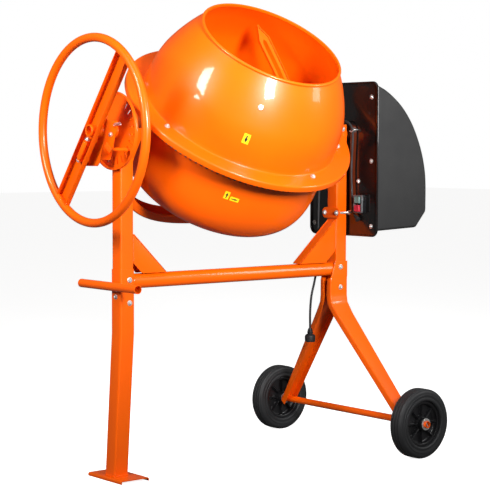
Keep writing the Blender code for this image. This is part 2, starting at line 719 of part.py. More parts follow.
# ---------------------------------------------------------------- drive
def build_drive():
    """Pinion shaft through the right pivot, with the pinion inside and the big pulley outside."""
    axis = along_x(0, 0, TILT_Z)
    shaft = lathe("pinion_shaft", rod_profile(DRIVE_R, PINION_X[0] - 0.003, PULLEY_X[1] + 0.014), STEEL,
                  20, **axis)
    pinion = lathe("pinion", pipe_profile(PINION_R, DRIVE_R + GAP, *PINION_X), IRON, 24, **axis)
    low, high = PULLEY_X
    middle = (low + high) / 2
    big = [(DRIVE_R + GAP, low - 0.004), (0.022, low - 0.004), (0.024, middle - 0.002),
           (BIG_PULLEY_R - 0.012, middle - 0.002), (BIG_PULLEY_R - 0.010, low), (BIG_PULLEY_R, low),
           (BIG_PULLEY_R, high), (BIG_PULLEY_R - 0.010, high), (BIG_PULLEY_R - 0.012, middle + 0.002),
           (0.024, middle + 0.002), (0.022, high + 0.004), (DRIVE_R + GAP, high + 0.004)]
    pulley = lathe("large_pulley", big, IRON, 24, **axis)
    pivot("drive_shaft_axis", (PULLEY_X[0], 0, TILT_Z), [shaft, pinion, pulley])

    lathe("motor_pulley", [
        (0, low - 0.006), (0.0075, low - 0.006), (0.0075, low), (MOTOR_PULLEY_R, low),
        (MOTOR_PULLEY_R, high), (0.0075, high), (0.0075, high + 0.055), (0, high + 0.055)],
        IRON, 20, **along_x(0, 0, MOTOR_Z))
    build_belt()
    build_motor()


def belt_outline(extra, steps=14):
    """Open loop around both pulleys: two arcs joined by their common tangents."""
    big = BIG_PULLEY_R + extra
    small = MOTOR_PULLEY_R + extra
    lean = math.asin((big - small) / (TILT_Z - MOTOR_Z))
    points = []
    for k in range(steps + 1):
        a = -lean + (math.pi + 2 * lean) * k / steps
        points.append((big * math.cos(a), TILT_Z + big * math.sin(a)))
    for k in range(steps + 1):
        a = math.pi + lean + (math.pi - 2 * lean) * k / steps
        points.append((small * math.cos(a), MOTOR_Z + small * math.sin(a)))
    return points


def build_belt():
    inner = belt_outline(0.0018)
    outer = belt_outline(BELT_THICK)
    sections = []
    for x in (PULLEY_X[0] + 0.002, PULLEY_X[1] - 0.002):
        sections.append(([(x, y, z) for y, z in outer], [(x, y, z) for y, z in inner]))
    hollow_loft("drive_belt", sections, RUBBER)


def build_motor():
    """Motor can on a folded bracket behind the panel."""
    face = LEFT_X + 1.0225
    low = 0.806
    high = 0.966
    legs = 0.074
    sheet = 0.003
    start = PANEL_X + PANEL_SHEET + GAP
    outline = [(start, -legs), (start, -legs + sheet), (face - sheet, -legs + sheet),
               (face - sheet, legs - sheet), (start, legs - sheet), (start, legs), (face, legs),
               (face, -legs)]
    bracket = prism("motor_bracket", outline, "Z", low, high, STEEL, smooth=False)
    hole(bracket, 0.018, face - 0.02, face + 0.02, along_x(0, 0, MOTOR_Z), 20)
    can = [(0.0085, face + GAP), (MOTOR_R, face + GAP), (MOTOR_R, face + 0.120),
           (MOTOR_R - 0.006, face + 0.150), (0.0, face + 0.150), (0.0, face + 0.050),
           (0.0085, face + 0.050)]
    lathe("motor_body", can, MOTOR_GREY, 28, **along_x(0, 0, MOTOR_Z))


# ---------------------------------------------------------------- housing
def build_panel():
    """Rounded back panel that the clamps hold on the upright."""
    outline = rounded_rectangle(-PANEL_HALF, PANEL_HALF, PANEL_Z[0], PANEL_Z[1], 0.028, 5)
    panel = prism("back_panel", outline, "X", PANEL_X, PANEL_X + PANEL_SHEET, PANEL_BLACK)
    hole(panel, 0.014, PANEL_X - 0.02, PANEL_X + 0.02, along_x(0, 0, TILT_Z), 20)
    return panel


def cover_outline(inset):
    """Side outline (x, z) of the motor cover: a bulging back that falls to a chamfered foot."""
    x0 = PANEL_X + PANEL_SHEET + GAP
    shape = [(0.000, 0.773), (0.196, 0.781), (0.232, 0.800), (0.2485, 0.840), (0.2485, 0.930),
             (0.243, 0.985), (0.228, 1.045), (0.203, 1.105), (0.171, 1.160), (0.130, 1.208),
             (0.085, 1.244), (0.045, 1.268), (0.014, 1.281), (0.000, 1.283)]
    centre = Vector((0.08, 1.01))
    points = []
    for x, z in shape:
        away = (centre - Vector((x, z))).normalized()
        moved = Vector((x, z)) + away * inset * 1.25
        points.append((x0 + (moved.x if x > 0 else 0.0), moved.y))
    return points


def build_cover():
    """Deep plastic cover over the motor and belt, open towards the panel."""
    cover = prism("motor_cover", cover_outline(0), "Y", -COVER_HALF, COVER_HALF, PLASTIC)
    inside = [(x - 0.05 if k in (0, len(cover_outline(0)) - 1) else x, z)
              for k, (x, z) in enumerate(cover_outline(COVER_SHEET))]
    cut(cover, prism("cutter", inside, "Y", -COVER_HALF + COVER_SHEET, COVER_HALF - COVER_SHEET,
                     PLASTIC))


def build_switch():
    """Switch box on the panel, with two sprung buttons in pockets, and the cord gland."""
    front = PANEL_X - 0.0220
    back = PANEL_X - GAP
    body = box("switch_box", (front, SWITCH_Y - 0.023, SWITCH_Z[0]),
               (back, SWITCH_Y + 0.023, SWITCH_Z[1]), PLASTIC)
    middle = sum(SWITCH_Z) / 2
    for name, z, mat in (("start_button", middle + 0.015, GREEN), ("stop_button", middle - 0.015, RED)):
        cut(body, box("cutter", (front - 0.01, SWITCH_Y - 0.0125, z - 0.0125),
                      (front + 0.012, SWITCH_Y + 0.0125, z + 0.0125), PLASTIC))
        box(name, (-0.0045, -0.0118, -0.0118), (0.0080, 0.0118, 0.0118), mat,
            location=(front, SWITCH_Y, z))

    lathe("cable_gland", [(0, 0), (0.0100, 0), (0.0100, 0.010), (0.0075, 0.013), (0.0060, 0.026),
                          (0, 0.026)], PLASTIC, 16,
          location=GLAND_BASE, rotation=(-math.pi / 4, 0, 0))


GLAND_BASE = (PANEL_X - 0.0110, -0.0920, 0.8060)
CORD_R = 0.0040
# Route of the cord's middle, from the gland's mouth to the plug
CORD_ROUTE = [
    (PANEL_X - 0.0110, -0.0729, 0.8251), (PANEL_X - 0.0110, -0.0658, 0.8322),
    (PANEL_X - 0.0112, -0.0600, 0.8460), (PANEL_X - 0.0118, -0.0585, 0.8700),
    (PANEL_X - 0.0120, -0.0560, 0.9200), (PANEL_X - 0.0120, -0.0530, 0.9800),
    (PANEL_X - 0.0120, -0.0560, 1.0500), (PANEL_X - 0.0120, -0.0590, 1.1000),
    (PANEL_X - 0.0135, -0.0560, 1.1350), (PANEL_X - 0.0180, -0.0400, 1.1560),
    (PANEL_X - 0.0260, -0.0140, 1.1625), (PANEL_X - 0.0380, 0.0120, 1.1620),
    (PANEL_X - 0.0500, 0.0340, 1.1500), (PANEL_X - 0.0600, 0.0450, 1.1150),
    (PANEL_X - 0.0660, 0.0500, 1.0500), (PANEL_X - 0.0690, 0.0530, 0.9500),
    (PANEL_X - 0.0700, 0.0550, 0.8700), (PANEL_X - 0.0710, 0.0560, 0.7900),
    (PANEL_X - 0.0720, 0.0560, 0.7100), (PANEL_X - 0.0760, 0.0560, 0.6400),
    (PANEL_X - 0.0880, 0.0560, 0.5850), (PANEL_X - 0.1000, 0.0580, 0.5350),
    (PANEL_X - 0.1040, 0.0600, 0.4800), (PANEL_X - 0.1040, 0.0600, 0.4200)]


def smooth_route(points, step):
    """Catmull-Rom curve through the route's points, read at an even spacing."""
    route = [Vector(p) for p in points]
    dense = []
    for k in range(len(route) - 1):
        p0 = route[max(k - 1, 0)]
        p1 = route[k]
        p2 = route[k + 1]
        p3 = route[min(k + 2, len(route) - 1)]
        for n in range(16):
            t = n / 16
            dense.append(0.5 * ((2 * p1) + (p2 - p0) * t + (2 * p0 - 5 * p1 + 4 * p2 - p3) * t * t
                                + (3 * p1 - p0 - 3 * p2 + p3) * t ** 3))
    dense.append(route[-1])
    total = sum((b - a).length for a, b in zip(dense, dense[1:]))
    count = round(total / step)
    even = [dense[0]]
    travelled = 0.0
    target = total / count
    for a, b in zip(dense, dense[1:]):
        piece = (b - a).length
        while travelled + piece >= target * len(even) - 1e-9 and len(even) < count:
            even.append(a.lerp(b, (target * len(even) - travelled) / piece))
        travelled += piece
    even.append(dense[-1])
    return even


def build_cord():
    """Mains lead that climbs the panel, crosses over the upright and hangs to its plug."""
    points = smooth_route(CORD_ROUTE, CORD_R * 2 * 2.3)
    curve = bpy.data.curves.new("power_cord", "CURVE")
    curve.dimensions = "3D"
    curve.bevel_depth = CORD_R
    curve.bevel_resolution = 2
    curve.use_fill_caps = True
    spline = curve.splines.new("POLY")
    spline.points.add(len(points) - 1)
    for target, point in zip(spline.points, points):
        target.co = (*point, 1.0)
    curve.materials.append(RUBBER)
    obj = bpy.data.objects.new("power_cord", curve)
    bpy.context.scene.collection.objects.link(obj)
    end = points[-1]
    lathe("power_plug", [(0, -GAP), (0.0060, -GAP), (0.0085, -0.020), (0.0185, -0.026),
                         (0.0190, -0.048), (0.0150, -0.052), (0, -0.052)], PLASTIC, 20,
          location=end)


clear_scene()
PAINT = finish("orange_paint", ORANGE, 0.32, 0.0)
STEEL = finish("zinc_steel", (0.62, 0.62, 0.60), 0.30, 1.0)
IRON = finish("cast_iron", (0.12, 0.12, 0.12), 0.55, 1.0)
RUBBER = finish("black_rubber", (0.015, 0.015, 0.016), 0.75, 0.0)
PLASTIC = finish("black_plastic", DARK_PLASTIC, 0.45, 0.0)
PANEL_BLACK = finish("panel_black", (0.008, 0.008, 0.009), 0.20, 0.0)
MOTOR_GREY = finish("motor_grey", (0.20, 0.21, 0.22), 0.50, 0.6)
GREEN = finish("start_green", (0.10, 0.26, 0.20), 0.40, 0.0)
RED = finish("stop_red", (0.55, 0.03, 0.04), 0.35, 0.0)

build_left_side()
build_crossbar()
right_upright, clamp_plate = build_right_side()
build_axle_legs(right_upright)
build_wheels()
build_lock_disc()
yoke_pieces = build_yoke()
hub_pieces = build_handwheel()
drum_pieces = build_drum()
build_drive()
back_panel = build_panel()
build_clamp_bolts(clamp_plate, back_panel)
build_cover()
build_switch()
build_cord()
pivot("tilt_axis", (DRUM_X, 0, TILT_Z), yoke_pieces + hub_pieces)
pivot("drum_axis", (DRUM_X, 0, TILT_Z), drum_pieces)
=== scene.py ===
# %% [markdown]
# # Tilting drum concrete mixer
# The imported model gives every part's place in metres.  This script gives those parts their
# finished surfaces: pressed drum shells, bent tubes, folded sheet, moulded wheels, paint,
# zinc and rubber.  Each new piece rides on the moving body that its part belongs to.

import json
import math

import bmesh
import bpy
import numpy as np
from mathutils import Matrix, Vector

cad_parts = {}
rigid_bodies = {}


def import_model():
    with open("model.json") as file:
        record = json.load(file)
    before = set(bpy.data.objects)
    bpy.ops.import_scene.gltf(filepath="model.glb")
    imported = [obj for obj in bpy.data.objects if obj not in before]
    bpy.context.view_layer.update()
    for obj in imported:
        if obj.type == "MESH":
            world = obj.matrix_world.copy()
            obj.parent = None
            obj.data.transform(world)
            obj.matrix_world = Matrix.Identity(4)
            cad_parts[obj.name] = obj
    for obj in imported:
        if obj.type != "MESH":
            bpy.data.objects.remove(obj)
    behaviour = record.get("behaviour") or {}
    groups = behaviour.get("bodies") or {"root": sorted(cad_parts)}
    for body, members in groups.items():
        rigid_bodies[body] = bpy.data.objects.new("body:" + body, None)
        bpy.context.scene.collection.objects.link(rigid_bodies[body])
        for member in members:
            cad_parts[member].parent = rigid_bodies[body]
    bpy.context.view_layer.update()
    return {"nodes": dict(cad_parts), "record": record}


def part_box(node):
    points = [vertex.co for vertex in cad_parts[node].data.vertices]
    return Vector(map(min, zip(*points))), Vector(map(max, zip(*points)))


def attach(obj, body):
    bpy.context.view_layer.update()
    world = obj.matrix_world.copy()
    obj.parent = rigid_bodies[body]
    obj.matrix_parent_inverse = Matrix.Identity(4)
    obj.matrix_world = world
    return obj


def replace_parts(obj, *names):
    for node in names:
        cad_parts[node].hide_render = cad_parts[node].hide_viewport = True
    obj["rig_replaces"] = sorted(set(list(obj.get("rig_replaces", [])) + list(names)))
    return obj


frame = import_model()
JOINTS = {joint["name"]: joint for joint in frame["record"]["behaviour"]["joints"]}

# %% [markdown]
# ## Driving sizes
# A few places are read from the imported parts, so that a surface can't drift away from the
# part it covers.  The rest are sheet thicknesses and radii that only the surface needs.


# %% Sizes read from the frame
def low(node):
    return np.array(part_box(node)[0])


def high(node):
    return np.array(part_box(node)[1])


def middle(node):
    return (low(node) + high(node)) / 2


LEFT_X = middle("left_upright")[0]
RIGHT_X = middle("right_upright")[0]
TILT_Z = JOINTS["drum_tilt"]["pos_m"][2]
DRUM_X = JOINTS["drum_tilt"]["pos_m"][0]
DRUM_AXIS = np.array(JOINTS["drum_spin"]["axis"])
SPOKE_AXIS = np.array(JOINTS["handwheel_rock"]["axis"])
HANDWHEEL_X = middle("handwheel_rim")[0]
PANEL_X = low("back_panel")[0]
AXLE_X = middle("axle")[0]
AXLE_Z = middle("axle")[2]
TUBE = 0.050
GAP = 0.0003
print("uprights at x", round(LEFT_X, 4), round(RIGHT_X, 4), "tilt axis at z", TILT_Z)

# %% [markdown]
# ## Camera
# A long lens, low and to the left of the mouth.  A camera can be placed by an empty that it
# tracks, or by a matrix.  The matrix is used here: its columns are the camera's right, up and
# backward directions, worked out from one azimuth, one pitch and one roll.

# %% Camera
AZIMUTH = math.radians(39.281)
PITCH = math.radians(3.446)
ROLL = math.radians(0.148)
CAMERA_PLACE = (-3.376, -4.083, 1.051)
LENS = 113.88

aim = np.array([math.sin(AZIMUTH) * math.cos(PITCH), math.cos(AZIMUTH) * math.cos(PITCH),
                -math.sin(PITCH)])
right = np.cross(aim, (0, 0, 1))
right /= np.linalg.norm(right)
up = np.cross(right, aim)
turned_right = math.cos(ROLL) * right + math.sin(ROLL) * up
turned_up = math.cos(ROLL) * up - math.sin(ROLL) * right

camera = bpy.data.objects.new("camera", bpy.data.cameras.new("camera"))
camera.data.lens = LENS
camera.data.sensor_width = 36
camera.data.clip_end = 60
pose = np.eye(4)
pose[:3, 0] = turned_right
pose[:3, 1] = turned_up
pose[:3, 2] = -aim
pose[:3, 3] = CAMERA_PLACE
camera.matrix_world = Matrix(pose.tolist())
bpy.context.scene.collection.objects.link(camera)
bpy.context.scene.camera = camera
print("camera at", CAMERA_PLACE, "looking along", aim.round(3))

# %% [markdown]
# ## Shape helpers
# Nearly everything here is a grid of points: one direction goes round or along the piece, the
# other across it.  The helpers work the whole grid out at once as numpy arrays, and one
# function turns a grid into a closed mesh that faces outwards.


# %% From arrays to a piece
def unit(v):
    v = np.asarray(v, float)
    return v / np.linalg.norm(v, axis=-1, keepdims=True)


def grid_faces(rows, columns, wrap_rows, wrap_columns):
    """Quads of a grid: each joins a point to the next along its row and its column."""
    r = np.arange(rows if wrap_rows else rows - 1)
    c = np.arange(columns if wrap_columns else columns - 1)
    a, b = (g.ravel() for g in np.meshgrid(r, c, indexing="ij"))
    a2 = (a + 1) % rows
    b2 = (b + 1) % columns
    return np.stack([a * columns + b, a2 * columns + b, a2 * columns + b2, a * columns + b2], axis=1)


def piece(name, parts, material, body, instead=(), sharp=38):
    """One object from (points, faces) parts: doubles merged, faces outwards, smooth below `sharp`."""
    bm = bmesh.new()
    for points, faces in parts:
        mesh = bpy.data.meshes.new("part")
        mesh.from_pydata(np.asarray(points).reshape(-1, 3).tolist(), [],
                         [list(map(int, face)) for face in faces])
        bm.from_mesh(mesh)
        bpy.data.meshes.remove(mesh)
    bmesh.ops.remove_doubles(bm, verts=bm.verts, dist=2e-6)
    bmesh.ops.dissolve_degenerate(bm, dist=1e-7, edges=bm.edges)
    bmesh.ops.recalc_face_normals(bm, faces=bm.faces)
    mesh = bpy.data.meshes.new(name)
    bm.to_mesh(mesh)
    bm.free()
    mesh.materials.append(material)
    mesh.shade_smooth()
    mesh.set_sharp_from_angle(angle=math.radians(sharp))
    obj = bpy.data.objects.new(name, mesh)
    bpy.context.scene.collection.objects.link(obj)
    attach(obj, body)
    if instead:
        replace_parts(obj, *instead)
    return obj


def placed(points, origin, x, y, z):
    """Points given along three directions, moved to world places."""
    points = np.asarray(points, float)
    return (np.asarray(origin) + points[..., :1] * np.asarray(x, float)
            + points[..., 1:2] * np.asarray(y, float) + points[..., 2:3] * np.asarray(z, float))


def lathe(profile, origin, axis, segments=96, closed=True, start=0.0):
    """Each (radius, height) pair of a profile goes round the axis: centre + r(cos a U + sin a V) + h W."""
    profile = np.asarray(profile, float)
    w = unit(axis)
    u = unit(np.cross(w, (0.0, 1.0, 0.0) if abs(w[1]) < 0.9 else (1.0, 0.0, 0.0)))
    v = np.cross(w, u)
    a = start + np.linspace(0, 2 * np.pi, segments, endpoint=False)[:, None]
    r = profile[:, 0][None, :]
    h = np.broadcast_to(profile[:, 1][None, :], (segments, len(profile)))
    points = placed(np.stack([r * np.cos(a), r * np.sin(a), h], axis=-1), origin, u, v, w)
    return points, grid_faces(segments, len(profile), True, closed)


def skin(sections, caps=True, closed=False):
    """Cross-sections joined in order; with caps each end is one flat face."""
    sections = np.asarray(sections, float)
    rows, columns = sections.shape[:2]
    faces = grid_faces(rows, columns, closed, True).tolist()
    if caps and not closed:
        faces.append(list(range(columns)))
        faces.append(list(range((rows - 1) * columns, rows * columns))[::-1])
    return sections, faces


def rounded(outline, radius, steps=5):
    """A closed outline whose corners become arcs: each arc is a quadratic curve weighted to be round."""
    p = np.asarray(outline, float)
    radius = np.broadcast_to(np.asarray(radius, float), (len(p),))[:, None]
    before = unit(np.roll(p, 1, axis=0) - p)
    after = unit(np.roll(p, -1, axis=0) - p)
    cosine = np.clip(np.sum(before * after, axis=1, keepdims=True), -0.9999, 0.9999)
    half = np.arccos(cosine) / 2
    reach = radius / np.tan(half)
    w = np.sin(half)[:, None, :]
    t = np.linspace(0, 1, steps + 1)[None, :, None]
    one = (p + before * reach)[:, None, :]
    two = (p + after * reach)[:, None, :]
    top = (1 - t) ** 2 * one + 2 * t * (1 - t) * w * p[:, None, :] + t ** 2 * two
    return (top / ((1 - t) ** 2 + 2 * t * (1 - t) * w + t ** 2)).reshape(-1, 2)


def rectangle(width, depth, radius, steps=5):
    """A rectangle about the origin with round corners."""
    a, b = width / 2, depth / 2
    return rounded([(-a, -b), (a, -b), (a, b), (-a, b)], radius, steps)


def collar(inner, outer, start, end, edge, steps=3):
    """Profile of a plain ring: a rectangle in radius and height, its corners rounded."""
    return rounded([(inner, start), (outer, start), (outer, end), (inner, end)], edge, steps)


def folded(line, thickness, bend, edge=0.0006, steps=4):
    """Outline of bent sheet: an open line moved half a thickness each way, its bends rounded."""
    line = np.asarray(line, float)
    run = unit(np.diff(line, axis=0))
    n = np.stack([-run[:, 1], run[:, 0]], axis=1)
    first = np.vstack([n[:1], n])
    second = np.vstack([n, n[-1:]])
    mitre = (first + second) / (1 + np.sum(first * second, axis=1, keepdims=True))
    turn = np.zeros(len(line))
    turn[1:-1] = np.sign(run[:-1, 0] * run[1:, 1] - run[:-1, 1] * run[1:, 0])
    sides = [line + mitre * thickness / 2, line - mitre * thickness / 2]
    radii = [np.where(turn == 0, edge, np.where(turn < 0, bend + thickness, bend)),
             np.where(turn == 0, edge, np.where(turn > 0, bend + thickness, bend))]
    return rounded(np.vstack([sides[0], sides[1][::-1]]),
                   np.concatenate([radii[0], radii[1][::-1]]), steps)


def smooth(points, count):
    """Curve through points (Catmull-Rom), read at an even spacing along its length."""
    p = np.asarray(points, float)
    ends = np.vstack([2 * p[0] - p[1], p, 2 * p[-1] - p[-2]])
    t = np.linspace(0, 1, 24, endpoint=False)[None, :, None]
    p0, p1, p2, p3 = (ends[k:len(ends) - 3 + k][:, None, :] for k in range(4))
    dense = 0.5 * (2 * p1 + (p2 - p0) * t + (2 * p0 - 5 * p1 + 4 * p2 - p3) * t ** 2
                   + (3 * p1 - p0 - 3 * p2 + p3) * t ** 3)
    dense = np.vstack([dense.reshape(-1, p.shape[1]), p[-1:]])
    length = np.concatenate([[0], np.cumsum(np.linalg.norm(np.diff(dense, axis=0), axis=1))])
    even = np.linspace(0, length[-1], count)
    return np.stack([np.interp(even, length, dense[:, k]) for k in range(p.shape[1])], axis=1)


def plate(outline, bottom, top, edge=0.0008, steps=3):
    """A flat outline raised from bottom to top, its rims rounded by insets that follow a quarter circle."""
    p = np.asarray(outline, float)
    run = unit(np.roll(p, -1, axis=0) - p)
    n = np.stack([run[:, 1], -run[:, 0]], axis=1)
    if np.sum(p[:, 0] * np.roll(p[:, 1], -1) - p[:, 1] * np.roll(p[:, 0], -1)) < 0:
        n = -n
    corner = unit(np.roll(n, 1, axis=0) + n)
    a = np.linspace(0, np.pi / 2, steps + 1)
    inset = np.concatenate([edge * (1 - np.sin(a)), edge * (1 - np.sin(a))[::-1]])
    level = np.concatenate([bottom + edge * (1 - np.cos(a)), (top - edge * (1 - np.cos(a)))[::-1]])
    flat = p[None] - corner[None] * inset[:, None, None]
    heights = np.broadcast_to(level[:, None, None], (len(level), len(p), 1))
    return skin(np.concatenate([flat, heights], axis=2))


def rings_along(path, sides, hint):
    """Unit circles square to a path: cos a times a side direction plus sin a times a rise."""
    run = unit(np.gradient(path, axis=0))
    side = unit(np.cross(run, hint))
    rise = np.cross(side, run)
    a = np.linspace(0, 2 * np.pi, sides, endpoint=False)
    return np.cos(a)[None, :, None] * side[:, None] + np.sin(a)[None, :, None] * rise[:, None]


def tube_along(path, outer, inner=None, sides=20):
    """Pipe along a path: each ring is square to the path; with an inner radius the ends are open."""
    path = np.asarray(path, float)
    ring = rings_along(path, sides, np.array([0.0, 0.0, 1.0]) + 1e-6)
    outside = path[:, None] + outer * ring
    if inner is None:
        return skin(outside)
    inside = path[:, None] + inner * ring
    return skin(np.concatenate([outside, inside[::-1]]), closed=True)


X, Y, Z = np.eye(3)


def facing_x(points, y, z):
    """Points given across, up and along x, moved to a place on a face square to x."""
    return placed(points, (0, y, z), Y, Z, X)


print("helpers ready")

# %% [markdown]
# ## Finishes
# Paint, zinc, rubber and moulded plastic are never one flat colour.  A colour can be varied by
# a painted image, by vertex colours or by noise read from the object's own coordinates.  Noise
# is used, because it needs no unwrapping and keeps its scale on every piece.  Two effects are
# shared by the finishes and so are node groups: a grain, which varies colour, gloss and
# height, and scuffs, which are short thin streaks.


# %% Shared node groups
def new_group(name, inputs, outputs):
    """An empty shader group with the given (name, socket kind, default) inputs and outputs."""
    group = bpy.data.node_groups.new(name, "ShaderNodeTree")
    for label, kind, value in inputs:
        socket = group.interface.new_socket(label, in_out="INPUT", socket_type="NodeSocket" + kind)
        if value is not None:
            socket.default_value = value
    for label, kind in outputs:
        group.interface.new_socket(label, in_out="OUTPUT", socket_type="NodeSocket" + kind)
    return group, group.nodes.new("NodeGroupInput"), group.nodes.new("NodeGroupOutput")


def node(tree, kind, values=(), **settings):
    """One node with its settings, then its input values or links by socket name or number."""
    made = tree.nodes.new("ShaderNode" + kind)
    for key, value in settings.items():
        setattr(made, key, value)
    for key, value in dict(values).items():
        if isinstance(value, bpy.types.NodeSocket):
            tree.links.new(value, made.inputs[key])
        else:
            made.inputs[key].default_value = value
    return made


def make_grain():
    """Slow noise mixes two colours and moves the roughness; quick noise gives a height."""
    group, inp, out = new_group("grain", [
        ("Vector", "Vector", None), ("Color", "Color", None), ("Shade", "Color", None),
        ("Slow Scale", "Float", 6.0), ("Quick Scale", "Float", 900.0), ("Roughness", "Float", 0.4),
        ("Spread", "Float", 0.1)], [("Color", "Color"), ("Roughness", "Float"), ("Height", "Float")])
    slow = node(group, "TexNoise", {"Vector": inp.outputs["Vector"], "Scale": inp.outputs["Slow Scale"],
                                    "Detail": 5.0, "Roughness": 0.6})
    level = node(group, "MapRange", {"Value": slow.outputs["Fac"], "From Min": 0.3, "From Max": 0.7})
    mix = node(group, "Mix", {0: level.outputs["Result"], 6: inp.outputs["Color"],
                              7: inp.outputs["Shade"]}, data_type="RGBA")
    quick = node(group, "TexNoise", {"Vector": inp.outputs["Vector"],
                                     "Scale": inp.outputs["Quick Scale"], "Detail": 2.0})
    low_rough = node(group, "Math", {0: inp.outputs["Roughness"], 1: inp.outputs["Spread"]},
                     operation="SUBTRACT")
    high_rough = node(group, "Math", {0: inp.outputs["Roughness"], 1: inp.outputs["Spread"]},
                      operation="ADD")
    rough = node(group, "MapRange", {"Value": slow.outputs["Fac"], "From Min": 0.3, "From Max": 0.7,
                                     "To Min": low_rough.outputs[0], "To Max": high_rough.outputs[0]})
    group.links.new(mix.outputs[2], out.inputs["Color"])
    group.links.new(rough.outputs["Result"], out.inputs["Roughness"])
    group.links.new(quick.outputs["Fac"], out.inputs["Height"])
    return group


def make_scuffs():
    """Noise squeezed along one direction, cut off high, leaves a few short streaks."""
    group, inp, out = new_group("scuffs", [
        ("Vector", "Vector", None), ("Stretch", "Vector", (1.0, 1.0, 8.0)), ("Scale", "Float", 30.0),
        ("Start", "Float", 0.68)], [("Mask", "Float")])
    squeezed = node(group, "Mapping", {"Vector": inp.outputs["Vector"], "Scale": inp.outputs["Stretch"]})
    noise = node(group, "TexNoise", {"Vector": squeezed.outputs["Vector"], "Scale": inp.outputs["Scale"],
                                     "Detail": 3.0, "Roughness": 0.7})
    full = node(group, "Math", {0: inp.outputs["Start"], 1: 0.08}, operation="ADD")
    mask = node(group, "MapRange", {"Value": noise.outputs["Fac"], "From Min": inp.outputs["Start"],
                                    "From Max": full.outputs[0]})
    group.links.new(mask.outputs["Result"], out.inputs["Mask"])
    return group


GRAIN = make_grain()
SCUFFS = make_scuffs()
print("groups:", GRAIN.name, SCUFFS.name)

# %% [markdown]
# A finish is then one function: the grain with this finish's own colours and scales, a few
# scuffs that change its colour, and a bump from the grain's height.  Metal, coat and
# reflection strength are the same all over, so they are set on the shader itself.


# %% One finish
def finish(name, color, shade, rough, spread=0.05, slow=5.0, quick=900.0, height=0.0002, metal=0.0,
           coat=0.0, coat_rough=0.1, specular=0.5, scuff_color=None, scuff_start=0.70, stretch=(1, 1, 6),
           scuff_scale=28.0):
    mat = bpy.data.materials.new(name)
    mat.use_nodes = True
    tree = mat.node_tree
    shader = tree.nodes["Principled BSDF"]
    place = tree.nodes.new("ShaderNodeTexCoord").outputs["Object"]
    grain = node(tree, "Group", node_tree=GRAIN)
    for key, value in {"Color": (*color, 1), "Shade": (*shade, 1), "Slow Scale": slow,
                       "Quick Scale": quick, "Roughness": rough, "Spread": spread}.items():
        grain.inputs[key].default_value = value
    tree.links.new(place, grain.inputs["Vector"])
    final = grain.outputs["Color"]
    if scuff_color:
        scuffs = node(tree, "Group", node_tree=SCUFFS)
        tree.links.new(place, scuffs.inputs["Vector"])
        for key, value in {"Stretch": stretch, "Scale": scuff_scale, "Start": scuff_start}.items():
            scuffs.inputs[key].default_value = value
        final = node(tree, "Mix", {0: scuffs.outputs["Mask"], 6: final, 7: (*scuff_color, 1)},
                     data_type="RGBA").outputs[2]
    bump = node(tree, "Bump", {"Height": grain.outputs["Height"], "Distance": height, "Strength": 0.6})
    tree.links.new(final, shader.inputs["Base Color"])
    tree.links.new(grain.outputs["Roughness"], shader.inputs["Roughness"])
    tree.links.new(bump.outputs["Normal"], shader.inputs["Normal"])
    for key, value in {"Metallic": metal, "Coat Weight": coat, "Coat Roughness": coat_rough,
                       "Specular IOR Level": specular}.items():
        shader.inputs[key].default_value = value
    mat.diffuse_color = (*color, 1)
    return mat


PAINT = finish("orange_paint", (0.90, 0.118, 0.0008), (0.83, 0.098, 0.0005), 0.34, 0.05, slow=3.0,
               quick=420.0, height=0.0003, coat=0.35, coat_rough=0.07, specular=0.20,
               scuff_color=(0.93, 0.16, 0.01), scuff_start=0.74)
ZINC = finish("zinc_steel", (0.78, 0.78, 0.76), (0.62, 0.63, 0.62), 0.33, 0.08, slow=60.0, metal=0.75,
              scuff_color=(0.36, 0.36, 0.35), scuff_start=0.66, scuff_scale=90.0)
IRON = finish("cast_iron", (0.13, 0.13, 0.13), (0.08, 0.08, 0.08), 0.52, 0.10, slow=35.0, quick=600.0,
              height=0.0006, metal=1.0, scuff_color=(0.22, 0.16, 0.11), scuff_start=0.66)
RUBBER = finish("black_rubber", (0.018, 0.018, 0.019), (0.011, 0.011, 0.012), 0.55, 0.08, slow=30.0,
                specular=0.4, scuff_color=(0.045, 0.044, 0.042), scuff_start=0.70)
TYRE = finish("tyre_rubber", (0.017, 0.0175, 0.019), (0.010, 0.0105, 0.0115), 0.55, 0.07, slow=18.0,
              quick=700.0, height=0.0004, specular=0.4, scuff_color=(0.065, 0.063, 0.060),
              scuff_start=0.69, stretch=(1, 5, 1))
HUB = finish("black_plastic", (0.010, 0.010, 0.011), (0.006, 0.006, 0.007), 0.30, 0.06, slow=20.0,
             specular=0.5)
COVER = finish("cover_plastic", (0.018, 0.018, 0.018), (0.014, 0.014, 0.0145), 0.58, 0.05, slow=7.0,
               quick=1100.0, height=0.0005, specular=0.35)
PANEL = finish("panel_black", (0.006, 0.0055, 0.0055), (0.010, 0.006, 0.0055), 0.16, 0.05, slow=4.0,
               quick=500.0, height=0.0002, coat=0.7, coat_rough=0.06)
MOTOR = finish("motor_grey", (0.20, 0.21, 0.22), (0.15, 0.16, 0.17), 0.45, 0.08, metal=0.6)
GREEN = finish("start_green", (0.16, 0.27, 0.25), (0.11, 0.21, 0.19), 0.35, 0.05, coat=0.3)
RED = finish("stop_red", (0.62, 0.035, 0.070), (0.50, 0.020, 0.045), 0.32, 0.05, coat=0.3)
YELLOW = finish("marker_yellow", (0.90, 0.60, 0.01), (0.84, 0.54, 0.01), 0.35, 0.04, slow=60.0)
INK = finish("marker_black", (0.012, 0.012, 0.012), (0.02, 0.02, 0.02), 0.40, 0.04, slow=60.0)
print("finishes:", len(bpy.data.materials))

